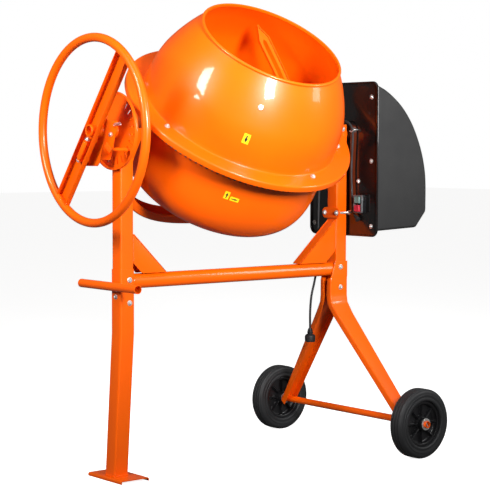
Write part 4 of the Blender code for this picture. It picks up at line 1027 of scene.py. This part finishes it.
ear_outline = rounded([(ear_near, -0.009), (ear_far, -0.009), (ear_far, 0.009), (ear_near, 0.009)],
                      (0.006, 0.001, 0.001, 0.006), 5)
for ear in (-0.040, -0.113):
    points, faces = plate(ear_outline, ear - 0.004, ear + 0.004, 0.0007)
    bracket_parts.append((in_spoke(points), faces))
bracket_parts.append(weld_ring((HANDWHEEL_X + PLATE_X, 0, TILT_Z), X, 0.0195, 0.0026))
piece("bracket_plate", bracket_parts, PAINT, "yoke", ["hub_bracket"])

dome_at = edge_mid + edge_out * 0.0002 + edge_run * -0.020
dome = rounded([(0, 0.0062), (0.0052, 0.0050), (0.0082, 0.0), (0, 0.0)], (0.0, 0.0030, 0.0004, 0.0), 6)
piece("cup_bolt", [lathe(dome, dome_at, edge_out, 32, closed=False)], ZINC, "yoke")

arm_front = back + 0.001
points, faces = plate(rounded([(-0.107, -0.009), (-0.070, -0.009), (-0.070, 0.009), (-0.107, 0.009)],
                              (0.004, 0.002, 0.002, 0.004), 5), arm_front, arm_front + 0.004, 0.0007)
tooth_parts = [(placed(points, HUB_CENTRE, SPOKE_SIDE, SPOKE_AXIS, X), faces)]
tooth_tip = high("lock_tooth")[0] - HANDWHEEL_X
points, faces = plate(rounded([(arm_front + 0.001, -0.104), (tooth_tip, -0.104), (tooth_tip, -0.090),
                               (arm_front + 0.001, -0.090)], 0.0015, 3), -0.0018, 0.0018, 0.0005)
tooth_parts.append((in_spoke(points), faces))
piece("tooth_arm", tooth_parts, PAINT, "handwheel", ["lock_tooth"])

coil_turn = np.linspace(0, 2 * np.pi * 9, 220)
coil_u = np.linspace(0, 1, 220)
coil_start = np.array([LEFT_X - 0.0560, -0.030, TILT_Z + 0.018])
coil_end = np.array([LEFT_X - 0.0560, -0.068, TILT_Z + 0.022])
coil_axis = unit(coil_end - coil_start)
coil_side = unit(np.cross(coil_axis, X))
coil_line = (coil_start + coil_u[:, None] * (coil_end - coil_start) + 0.0045 * np.cos(coil_turn)[:, None] * X
             + 0.0045 * np.sin(coil_turn)[:, None] * coil_side)
piece("return_spring", [tube_along(coil_line, 0.0007, sides=8)], ZINC, "yoke")
print("bracket, tooth and spring done")

# %% [markdown]
# The lock disc is a dished plate with slots.  Its two faces are polar grids; the quads inside a slot
# are left out, and walls join the two faces round each slot.

# %% Lock disc
DISC_BACK = LEFT_X - TUBE / 2 - GAP
DISC_FRONT = DISC_BACK - 0.004
LOCK_R = 0.097
slot_turns = math.pi / 2 + math.acos(SPOKE_AXIS[2]) + np.arange(-6, 7) * math.radians(15)
half_slot = 0.0028 / LOCK_R
slot_edges = [(slot_turns - half_slot) % (2 * np.pi), (slot_turns + half_slot) % (2 * np.pi)]
columns = np.unique(np.round(np.concatenate([np.linspace(0, 2 * np.pi, 145)[:-1], *slot_edges]), 6))
rows = np.array([0.0219, 0.040, 0.060, 0.0765, LOCK_R - 0.014, 0.092, LOCK_R + 0.010, 0.1145])
mid_turn = (columns + np.roll(columns, -1)) / 2
mid_turn[-1] = (columns[-1] + columns[0] + 2 * np.pi) / 2
gap_turn = np.abs((mid_turn[:, None] - slot_turns[None, :] + np.pi) % (2 * np.pi) - np.pi).min(axis=1)
slot_rows = (rows[:-1] > LOCK_R - 0.0145) & (rows[1:] < LOCK_R + 0.0105)
open_cell = (gap_turn[:, None] < half_slot) & slot_rows[None, :]
count, across = len(columns), len(rows)


def disc_points(x):
    """One face of the disc: y = -r sin a, z = tilt axis + r cos a."""
    return np.stack([np.full((count, across), x), -np.sin(columns)[:, None] * rows,
                     TILT_Z + np.cos(columns)[:, None] * rows], axis=-1)


cells = grid_faces(count, across, True, False).reshape(count, across - 1, 4)
solid = cells[~open_cell]
edges = np.concatenate([solid[:, [k, (k + 1) % 4]] for k in range(4)])
keys = np.sort(edges, axis=1)
_, first, hits = np.unique(keys, axis=0, return_index=True, return_counts=True)
border = edges[first[hits == 1]]
outer_ring = (border % across == across - 1).all(axis=1)
walls = np.column_stack([border, border[:, ::-1] + count * across])[~outer_ring]
faces = np.concatenate([solid, solid[:, ::-1] + count * across, walls]).tolist()
dish = [(0.1145, DISC_BACK), (0.1238, DISC_BACK - 0.0012), (0.1250, DISC_BACK - 0.0045),
        (0.1250, DISC_BACK - 0.0130), (0.1242, DISC_BACK - 0.0138), (0.1226, DISC_BACK - 0.0138),
        (0.1218, DISC_BACK - 0.0130), (0.1206, DISC_FRONT - 0.0020), (0.1190, DISC_FRONT),
        (0.1145, DISC_FRONT)]
dish_points = np.array([[(x, -r * math.sin(a), TILT_Z + r * math.cos(a)) for r, x in dish] for a in columns])
disc_pair = np.concatenate([disc_points(DISC_BACK), disc_points(DISC_FRONT)])
dish_faces = grid_faces(count, len(dish), True, False)
piece("slotted_disc", [(disc_pair, faces), (dish_points, dish_faces)], PAINT, "base", ["lock_disc"])
print("lock disc with", len(slot_turns), "slots")

# %% [markdown]
# ## Drive
# The motor's small pulley drives the large one through a V belt, and a pinion on the same shaft turns
# the drum.  The belt is a closed loop of one cross-section: two arcs joined by common tangents.

# %% Pulleys and belt
PULLEY_LOW, PULLEY_HIGH = low("large_pulley")[0] + 0.004, high("large_pulley")[0] - 0.004
PULLEY_MID = (PULLEY_LOW + PULLEY_HIGH) / 2
MOTOR_Z = middle("motor_pulley")[2]
BIG_R, SMALL_R = 0.095, 0.024
groove = [(-0.0080, 0.0), (-0.0062, 0.0006), (-0.0040, -0.0058)]
groove += [(-x, r) for x, r in groove[::-1]]
big_rim = [(BIG_R + min(r, 0), x) for x, r in groove]
web = [(0.0838, 0.0080), (0.0828, 0.0022), (0.0260, 0.0022), (0.0225, 0.0118), (0.0094, 0.0118),
       (0.0094, -0.0118), (0.0225, -0.0118), (0.0260, -0.0022), (0.0828, -0.0022), (0.0838, -0.0080)]
piece("pulley_large", [lathe(rounded(big_rim + web, 0.0006, 3), (PULLEY_MID, 0, TILT_Z), X, 96)],
      IRON, "drive_shaft", ["large_pulley"])
motor_end = high("motor_pulley")[0] - PULLEY_MID
small = [(SMALL_R + min(r, 0), x) for x, r in groove]
small_profile = rounded([(0, -0.0140), (0.0074, -0.0140), (0.0074, -0.0080)] + small
                        + [(0.0074, 0.0080), (0.0074, motor_end), (0, motor_end)],
                        (0,) + (0.0004,) * 10 + (0,), 3)
piece("pulley_small", [lathe(small_profile, (PULLEY_MID, 0, MOTOR_Z), X, 56, closed=False)],
      IRON, "motor_rotor", ["motor_pulley"])

shaft_ends = low("pinion_shaft")[0], high("pinion_shaft")[0]
shaft_rod = rounded([(0, shaft_ends[0]), (0.009, shaft_ends[0]), (0.009, shaft_ends[1]), (0, shaft_ends[1])],
                    (0, 0.0008, 0.0008, 0), 3)
piece("shaft_rod", [lathe(shaft_rod, (0, 0, TILT_Z), X, 40, closed=False)],
      ZINC, "drive_shaft", ["pinion_shaft"])


def belt_loop(extra, steps):
    """Two arcs and their common tangents, as (y, z)."""
    big, little = BIG_R + extra, SMALL_R + extra
    lean = math.asin((big - little) / (TILT_Z - MOTOR_Z))
    a = np.linspace(-lean, math.pi + lean, steps)
    b = np.linspace(math.pi + lean, 2 * math.pi - lean, steps // 2)
    return np.concatenate([np.stack([big * np.cos(a), TILT_Z + big * np.sin(a)], axis=1),
                           np.stack([little * np.cos(b), MOTOR_Z + little * np.sin(b)], axis=1)])


belt_section = [(-0.0056, 0.0058), (0.0056, 0.0058), (0.0042, 0.0010), (-0.0042, 0.0010)]
belt_loops = []
for x, extra in belt_section:
    loop = belt_loop(extra, 72)
    belt_loops.append(np.column_stack([np.full(len(loop), PULLEY_MID + x), loop]))
belt_points = np.stack(belt_loops, axis=1)
belt_faces = grid_faces(len(belt_points), len(belt_section), True, True)
piece("v_belt", [(belt_points, belt_faces)], RUBBER, "drive_shaft", ["drive_belt"])
print("pulleys and belt done")

# %% Motor and its bracket
bracket_face = high("motor_bracket")[0]
bracket_start = low("motor_bracket")[0]
half, skin_half = 0.074, 0.0015
web_x = bracket_face - skin_half
line = [(bracket_start, -half + skin_half), (web_x, -half + skin_half), (web_x, half - skin_half),
        (bracket_start, half - skin_half)]
outline = folded(line, 0.003, 0.003)
bracket_ends = low("motor_bracket")[2], high("motor_bracket")[2]
bracket_rows = np.array([[(x, y, z) for x, y in outline] for z in bracket_ends])
piece("motor_cradle", [skin(bracket_rows)], ZINC, "base", ["motor_bracket"])

can_low, can_high = low("motor_body")[0], high("motor_body")[0]
can_angle = np.linspace(0, 2 * np.pi, 36 * 8, endpoint=False)[:, None]
ribs = 0.0030 * (np.abs(np.sin(can_angle * 18)) ** 0.5)
can_profile = np.array([(0.0090, can_low), (0.052, can_low), (0.0560, can_low + 0.002),
                        (0.0570, can_low + 0.010), (0.0590, can_low + 0.014), (0.0590, can_low + 0.104),
                        (0.0570, can_low + 0.108), (0.0575, can_low + 0.112), (0.0575, can_high - 0.016),
                        (0.0480, can_high - 0.003), (0.0300, can_high), (0.0, can_high)])
ribbed = np.isclose(can_profile[:, 0], 0.0590)[None, :]
radius = can_profile[None, :, 0] + ribs * ribbed
points = np.stack([can_profile[None, :, 1] + 0 * radius, radius * np.cos(can_angle),
                   MOTOR_Z + radius * np.sin(can_angle)], axis=-1)
can_faces = grid_faces(points.shape[0], points.shape[1], True, False)
piece("motor_can", [(points, can_faces)], MOTOR, "base", ["motor_body"], sharp=30)
print("motor done")

# %% [markdown]
# ## Housing
# The cover and its back panel are the largest plain faces on this side, so their edges matter most.
# The panel's rim is a lip rolled towards the frame; the cover's side outline is a smooth curve with
# rounded edges where it meets the two flat cheeks.

# %% Back panel
panel_front, panel_back = low("back_panel")[0], high("back_panel")[0]
panel_mid = (low("back_panel")[2] + high("back_panel")[2]) / 2
panel_height = high("back_panel")[2] - low("back_panel")[2]
PANEL_WIDE, PANEL_CORNER, LIP_WIDE = 0.350, 0.028, 0.006
outer = rectangle(PANEL_WIDE, panel_height, PANEL_CORNER, 8)
inner = rectangle(PANEL_WIDE - 2 * LIP_WIDE, panel_height - 2 * LIP_WIDE, PANEL_CORNER - LIP_WIDE, 8)
sheet_points, sheet_faces = plate(outer, panel_front, panel_back, 0.0008)
lip_x = panel_front - 0.0045
lip_rows = []
for ring, x in ((outer, panel_front + 0.0012), (outer * 0.9995, lip_x + 0.0010), (outer * 0.997, lip_x),
                (inner * 1.003, lip_x), (inner, lip_x + 0.0010), (inner, panel_front + 0.0012)):
    lip_rows.append(np.column_stack([ring, np.full(len(ring), x)]))
lip_points = np.array(lip_rows)
lip_faces = grid_faces(len(lip_rows), len(outer), True, True)
piece("panel_rolled", [(facing_x(sheet_points, 0, panel_mid), sheet_faces),
                       (facing_x(lip_points, 0, panel_mid), lip_faces)], PANEL, "base", ["back_panel"])

# %% Motor cover
cover_x = panel_back + GAP
bulge = np.array([(0.2481, 0.846), (0.2480, 0.930), (0.243, 0.985), (0.228, 1.045), (0.203, 1.105),
                  (0.171, 1.160), (0.130, 1.208), (0.085, 1.244), (0.045, 1.268), (0.014, 1.281)])
curve = np.vstack([[(0.0, 0.773), (0.190, 0.7808), (0.198, 0.7825), (0.203, 0.787), (0.2455, 0.8355)],
                   smooth(bulge, 48), [(0.0, 1.283)]])
run = unit(np.roll(curve, -1, axis=0) - curve)
normal = np.stack([run[:, 1], -run[:, 0]], axis=1)
corner = np.roll(normal, 1, axis=0) + normal
corner = corner / np.maximum(np.sum(corner * normal, axis=1, keepdims=True), 0.5)
edge_r, half_y, cover_wall = 0.010, 0.169, 0.003
quarter = np.linspace(0, np.pi / 2, 7)
inset = edge_r * (1 - np.sin(quarter))
shift = edge_r * (1 - np.cos(quarter))


def cover_ring(amount, y):
    """The side outline moved inwards by an amount, flat where it meets the panel."""
    flat = curve - corner * amount
    flat[:, 0] = np.maximum(flat[:, 0], 0.0)
    flat[[0, -1], 0] = 0.0
    return np.column_stack([cover_x + flat[:, 0], np.full(len(flat), y), flat[:, 1]])


outside = [cover_ring(i, -half_y + s) for i, s in zip(inset, shift)]
outside += [cover_ring(i, half_y - s) for i, s in zip(inset[::-1], shift[::-1])]
inside = [cover_ring(cover_wall + i, half_y - cover_wall - s) for i, s in zip(inset, shift)]
inside += [cover_ring(cover_wall + i, -half_y + cover_wall + s) for i, s in zip(inset[::-1], shift[::-1])]
count = len(curve)


def shell_faces(rows, offset):
    """Strips between the rings, open on the panel side, with each end ring closed by one face."""
    grid = grid_faces(rows, count, False, True).reshape(rows - 1, count, 4)[:, :-1].reshape(-1, 4) + offset
    first = list(range(offset, offset + count))
    last = list(range(offset + (rows - 1) * count, offset + rows * count))[::-1]
    return grid.tolist() + [first, last]


rows = len(outside)
faces = shell_faces(rows, 0) + shell_faces(rows, rows * count)


def mouth_loop(offset):
    """Point numbers round the open side: the start of each ring, then the ends coming back."""
    starts = [offset + k * count for k in range(rows)]
    ends = [offset + k * count + count - 1 for k in range(rows)]
    return starts + ends[::-1]


out_loop, in_loop = mouth_loop(0), mouth_loop(rows * count)
in_loop = in_loop[:rows][::-1] + in_loop[rows:][::-1]
faces += [[out_loop[k], out_loop[(k + 1) % len(out_loop)], in_loop[(k + 1) % len(in_loop)], in_loop[k]]
          for k in range(len(out_loop))]
piece("cover_moulded", [(np.array(outside + inside), faces)], COVER, "base", ["motor_cover"], sharp=50)
print("housing done")

# %% [markdown]
# ## Switch
# A grey frame with rounded corners holds the two push buttons one over the other; the green one
# starts the mixer and the red one stops it.  Each button is a square cap with rounded edges.

# %% Switch box and buttons
box_low, box_high = low("switch_box"), high("switch_box")
box_mid = (box_low + box_high) / 2
wide, tall = box_high[1] - box_low[1], box_high[2] - box_low[2]
body_outline = rectangle(wide, tall, 0.005, 5)
points, faces = plate(body_outline, box_low[0] + 0.0045, box_high[0], 0.0012, 4)
switch_parts = [(facing_x(points, box_mid[1], box_mid[2]), faces)]
piece("switch_case", switch_parts, HUB, "base", ["switch_box"])
frame_rows = []
opening = rectangle(wide - 0.0150, tall - 0.0080, 0.004, 5)
for ring, x in ((body_outline, 0.0048), (body_outline * 0.995, 0.0008), (body_outline * 0.96, 0.0),
                (opening * 1.05, 0.0), (opening, 0.0008), (opening, 0.0048)):
    frame_rows.append(np.column_stack([ring, np.full(len(ring), box_low[0] + x)]))
frame_points = facing_x(np.array(frame_rows), box_mid[1], box_mid[2])
piece("switch_frame", [(frame_points, grid_faces(len(frame_rows), len(opening), True, True))], MOTOR, "base")

for name, mat, body in (("start", GREEN, "start_key"), ("stop", RED, "stop_key")):
    a, b = low(name + "_button"), high(name + "_button")
    centre = (a + b) / 2
    outline = rectangle(b[1] - a[1], b[2] - a[2], 0.0035, 5)
    rows_x = [b[0], a[0] + 0.0016, a[0] + 0.0004, a[0], a[0] + 0.0002, a[0] + 0.0010]
    sizes = [1.0, 1.0, 0.975, 0.92, 0.84, 0.45]
    cap = np.array([np.column_stack([outline * s, np.full(len(outline), x)]) for s, x in zip(sizes, rows_x)])
    points, faces = skin(cap)
    piece(name + "_key_cap", [(facing_x(points, centre[1], centre[2]), faces)], mat, body,
          [name + "_button"], sharp=60)
print("switch done")

# %% [markdown]
# ## Fasteners and bushes
# Bolts are the smallest pieces, but their bright hexagons are seen all over the frame.  Each one is a
# six-sided head with a turned chamfer, a washer, and the threaded end where it shows.  A thread is
# drawn as rings at its real pitch, which looks the same at this size as a helix.


# %% Bolts
SLEEVE_HALF = 0.0270


def threaded(start, end, axis, radius=0.0040, pitch=0.00125):
    """Rod whose radius follows a triangle wave along its length."""
    start, end = np.asarray(start, float), np.asarray(end, float)
    length = float(np.dot(end - start, axis))
    h = np.linspace(0, length, max(6, int(abs(length) / pitch) * 4 + 1))
    wave = np.abs((h / pitch) % 1 - 0.5) * 2
    profile = np.column_stack([radius - 0.0006 * wave, h])
    profile = np.vstack([[(0, 0.0)], profile, [(0, length)]])
    return lathe(profile, start, axis, 20, closed=False)


def washer(at, axis, radius=0.0085, bore=0.0042, thick=0.0015):
    profile = collar(bore, radius, 0, thick, 0.0004)
    return lathe(profile, at, axis, 36)


def bolt_end(at, axis, head=0.0072, height=0.0055):
    """Washer and hexagon standing on a face, pointing along the axis."""
    at = np.asarray(at, float)
    return [washer(at, axis)] + hexagon(head, at, 0.0013, axis, height)


def through_bolt(name, node_name, axis, head_at, nut_at, tail):
    """Head on one side, nut and a little thread on the other."""
    axis = np.asarray(axis, float)
    head_at, nut_at = np.asarray(head_at, float), np.asarray(nut_at, float)
    parts = bolt_end(head_at, -axis)
    parts += bolt_end(nut_at, axis)
    parts.append(threaded(head_at, nut_at + axis * tail, axis))
    return piece(name, parts, ZINC, "base", [node_name], sharp=28)


for level in ("upper", "lower"):
    for kind in ("sleeve", "leg"):
        node_name = kind + "_bolt_" + level
        centre = middle(node_name)
        face = (SLEEVE_HALF if kind == "sleeve" else TUBE / 2 + GAP + 0.003) + GAP
        tail = high(node_name)[1] - face
        head_at, nut_at = (centre[0], -face, centre[2]), (centre[0], face, centre[2])
        through_bolt(node_name + "_set", node_name, Y, head_at, nut_at, min(tail, 0.0085) - 0.0002)

CLAMP_Z = 0.835
clamp_face = low("clamp_plate")[0]
for side in ("near", "far"):
    node_name = "clamp_bolt_" + side
    centre = middle(node_name)
    parts = bolt_end((clamp_face - GAP, centre[1], centre[2]), -X)
    rod_start = (low(node_name)[0], centre[1], centre[2])
    rod_end = (high(node_name)[0], centre[1], centre[2])
    parts.append(threaded(rod_start, rod_end, X))
    parts += hexagon(0.0068, np.array([panel_front - GAP, centre[1], centre[2]]), 0.0005, -X, 0.0060)
    parts += hexagon(0.0068, np.array([panel_back + GAP, centre[1], centre[2]]), 0.0002, X, 0.0045)
    piece(node_name + "_rod", parts, ZINC, "base", [node_name], sharp=28)

points, faces = plate(rectangle(0.091, 0.039, 0.0185, 8), clamp_face, high("clamp_plate")[0], 0.0012, 4)
piece("clamp_flat", [(facing_x(points, 0, CLAMP_Z), faces)], PAINT, "base", ["clamp_plate"])

loose = []
loose += bolt_end((LEFT_X - SLEEVE_HALF, 0.0, 0.586), -X, 0.0068, 0.0050)
loose += bolt_end((RIGHT_X - TUBE / 2, 0.0, 0.548 + 0.022), -X, 0.0062, 0.0045)
loose += bolt_end((RIGHT_X + 0.004, -TUBE / 2, TILT_Z + 0.016), -Y, 0.0068, 0.0050)
loose += bolt_end((DISC_FRONT - 0.0002, 0.022, TILT_Z - 0.014), -X, 0.0055, 0.0040)
piece("frame_screws", loose, ZINC, "base", sharp=28)

panel_screws = []
for y, z in ((-0.142, 1.243), (-0.142, 1.019), (-0.142, 0.790),
             (0.154, 0.793), (0.154, 1.019), (0.154, 1.243)):
    panel_screws += bolt_end((panel_front, y, z), -X, 0.0055, 0.0035)
panel_screws += hexagon(0.0065, np.array([panel_front, -0.077, 0.948]), 0.0005, -X, 0.0050)
piece("panel_screws", panel_screws, ZINC, "base", sharp=28)
hook_line = smooth([(panel_front + 0.001, -0.0720, 1.130), (panel_front - 0.0120, -0.0720, 1.130),
                    (panel_front - 0.0185, -0.0690, 1.128), (panel_front - 0.0190, -0.0580, 1.122),
                    (panel_front - 0.0180, -0.0500, 1.126)], 30)
piece("cord_hook", [tube_along(hook_line, 0.0018, sides=12)], ZINC, "base")
print("fasteners done")

# %% Bushes, bearing and spindles
for name in ("left_pivot_bush", "right_pivot_bush"):
    a, b = low(name)[0], high(name)[0]
    profile = collar(0.0194, 0.0215, a, b, 0.0005)
    parts = [lathe(profile, (0, 0, TILT_Z), X, 64)]
    if name.startswith("right"):
        parts.append(weld_ring((RIGHT_X - TUBE / 2, 0, TILT_Z), X, 0.0220, 0.0028))
    piece(name + "_turned", parts, PAINT, "base", [name])
a, b = low("yoke_stub")[0], high("yoke_stub")[0]
stub = collar(0.0135, 0.019, a, b, 0.0006)
piece("yoke_stub_turned", [lathe(stub, (0, 0, TILT_Z), X, 56)], PAINT, "yoke", ["yoke_stub"])
for name, mat in (("spindle_bearing", IRON), ("drum_spindle", ZINC)):
    frame["nodes"][name].data.materials.clear()
    frame["nodes"][name].data.materials.append(mat)
print("bushes done")

# %% [markdown]
# ## Arrow markers
# Small yellow stickers with arrows sit on the cone and the pot.  Their wording is left out; the plain
# arrows are bent to the drum, so each is a grid of points on the drum's own surface.


# %% Arrow markers
def drum_radius(along):
    """Outer radius of the drum at a place along its axis."""
    outer = np.vstack([pot_line[1:], cone])
    order = np.argsort(outer[:, 1])
    return np.interp(along, outer[order, 1], outer[order, 0]) + 0.0004


def on_drum(turn, along, lift):
    """Points at a turn and a place along the drum, standing off its surface by a small lift."""
    r = drum_radius(along) + lift
    return in_drum(np.stack([r * np.cos(turn), r * np.sin(turn), along], axis=-1))


def sticker(name, turn, along, wide, tall, sign, head):
    """A yellow patch; the arrow on it is a strip whose half width follows its length."""
    u, v = np.meshgrid(np.linspace(-0.5, 0.5, 9), np.linspace(-0.5, 0.5, 9))
    radius = drum_radius(along)
    turns = math.radians(turn) + u * wide / radius
    shell = [on_drum(turns, along + v * tall, lift) for lift in (0.0, 0.0006)]
    points, faces = skin(np.concatenate([g.reshape(1, -1, 3) for g in shell]), caps=False)
    grid = grid_faces(9, 9, False, False)
    edge = np.r_[np.arange(9), np.arange(1, 9) * 9 + 8, 80 - np.arange(1, 9), (np.arange(7, 0, -1)) * 9]
    wall_faces = [[int(edge[k]), int(edge[(k + 1) % 32]), int(edge[(k + 1) % 32]) + 81, int(edge[k]) + 81]
                  for k in range(32)]
    faces = grid.tolist() + (grid[:, ::-1] + 81).tolist() + wall_faces
    piece(name + "_flat", [(points, faces)], YELLOW, "drum")
    place = np.array([-0.36, -0.02, -0.02, 0.38])
    half = np.array([0.10, 0.10, 0.27, 0.01])
    long, short = (tall, wide) if head == "along" else (wide, tall)
    a = sign * place[:, None] * long + np.zeros((1, 2))
    b = half[:, None] * np.array([[-1.0, 1.0]]) * short
    across, up_line = (b, a) if head == "along" else (a, b)
    rings = []
    for lift in (0.0006, 0.0010):
        strip = on_drum(math.radians(turn) + across / radius, along + up_line, lift)
        rings.append(np.concatenate([strip[:, 0], strip[::-1, 1]]))
    piece(name + "_sign", [skin(np.array(rings))], INK, "drum")


sticker("marker_cone", 233.8, 0.163, 0.022, 0.032, -1, "along")
sticker("marker_pot", 236.7, -0.046, 0.017, 0.028, 1, "along")
sticker("marker_pot_side", 241.5, -0.053, 0.030, 0.015, 1, "across")
print("markers done")

# %% [markdown]
# ## Floor and light
# The mixer stands on a plain pale floor.  The room looks white to the camera but lights the mixer
# only faintly, and the floor adds no light to it.  Glossy paint shows what it reflects, so soft
# boxes beside the drum leave the clear streaks that make the paint read as enamel.


# %% Floor, room and lamps
def lamp(name, at, target, size, size_y, power, spread):
    """A rectangular soft box at a place, facing a target."""
    data = bpy.data.lights.new(name, "AREA")
    data.shape = "RECTANGLE"
    data.size = size
    data.size_y = size_y
    data.energy = power
    data.spread = math.radians(spread)
    obj = bpy.data.objects.new(name, data)
    away = unit(np.asarray(at, float) - np.asarray(target, float))
    side = unit(np.cross((0, 0, 1), away)) if abs(away[2]) < 0.99 else np.array([1.0, 0, 0])
    pose = np.eye(4)
    pose[:3, 0], pose[:3, 1], pose[:3, 2], pose[:3, 3] = side, np.cross(away, side), away, at
    obj.matrix_world = Matrix(pose.tolist())
    bpy.context.scene.collection.objects.link(obj)
    return obj


floor_mat = finish("floor_white", (0.90, 0.90, 0.90), (0.885, 0.885, 0.885), 0.75, 0.05, slow=1.5,
                   quick=200.0, height=0.0001, specular=0.1)
floor_mat.node_tree.nodes["Principled BSDF"].inputs["Emission Color"].default_value = (1, 1, 1, 1)
floor_mat.node_tree.nodes["Principled BSDF"].inputs["Emission Strength"].default_value = 0.85
floor_mesh = bpy.data.meshes.new("floor")
FLOOR_HALF, FLOOR_Z = 30, -0.0005
floor_corners = [(x * FLOOR_HALF, y * FLOOR_HALF, FLOOR_Z) for x, y in ((-1, -1), (1, -1), (1, 1), (-1, 1))]
floor_mesh.from_pydata(floor_corners, [], [(0, 1, 2, 3)])
floor_mesh.materials.append(floor_mat)
floor = bpy.data.objects.new("floor", floor_mesh)
bpy.context.scene.collection.objects.link(floor)
floor.visible_diffuse = False
floor.visible_glossy = False

world = bpy.data.worlds.new("room")
world.use_nodes = True
sky = world.node_tree.nodes["Background"]
sky.inputs["Color"].default_value = (1.0, 0.97, 0.94, 1)
sky.inputs["Strength"].default_value = 0.10
seen = world.node_tree.nodes.new("ShaderNodeBackground")
seen.inputs["Color"].default_value = (1, 1, 1, 1)
seen.inputs["Strength"].default_value = 1.0
ray = world.node_tree.nodes.new("ShaderNodeLightPath")
choose = world.node_tree.nodes.new("ShaderNodeMixShader")
world.node_tree.links.new(ray.outputs["Is Camera Ray"], choose.inputs["Fac"])
world.node_tree.links.new(sky.outputs["Background"], choose.inputs[1])
world.node_tree.links.new(seen.outputs["Background"], choose.inputs[2])
world.node_tree.links.new(choose.outputs["Shader"], world.node_tree.nodes["World Output"].inputs["Surface"])
bpy.context.scene.world = world
bpy.context.scene.view_settings.view_transform = "Standard"

lamp("streak_left", (-3.1, -0.25, 2.45), (-0.1, 0, 1.25), 0.60, 1.3, 32, 90)
lamp("front", (-0.85, -3.1, 1.75), (-0.1, -0.2, 1.40), 0.55, 0.9, 27, 58)
lamp("right", (2.4, -2.4, 1.9), (0.3, -0.1, 0.7), 0.7, 1.6, 20, 120)
lamp("over", (-0.2, -1.2, 4.0), (0, 0, 0.8), 2.0, 2.0, 12, 150)
print("lamps and floor ready")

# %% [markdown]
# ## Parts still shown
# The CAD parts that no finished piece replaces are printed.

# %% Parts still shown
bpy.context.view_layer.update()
replaced = {n for o in bpy.data.objects for n in o.get("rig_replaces", [])}
print("CAD nodes still shown:", sorted(set(frame["nodes"]) - replaced))
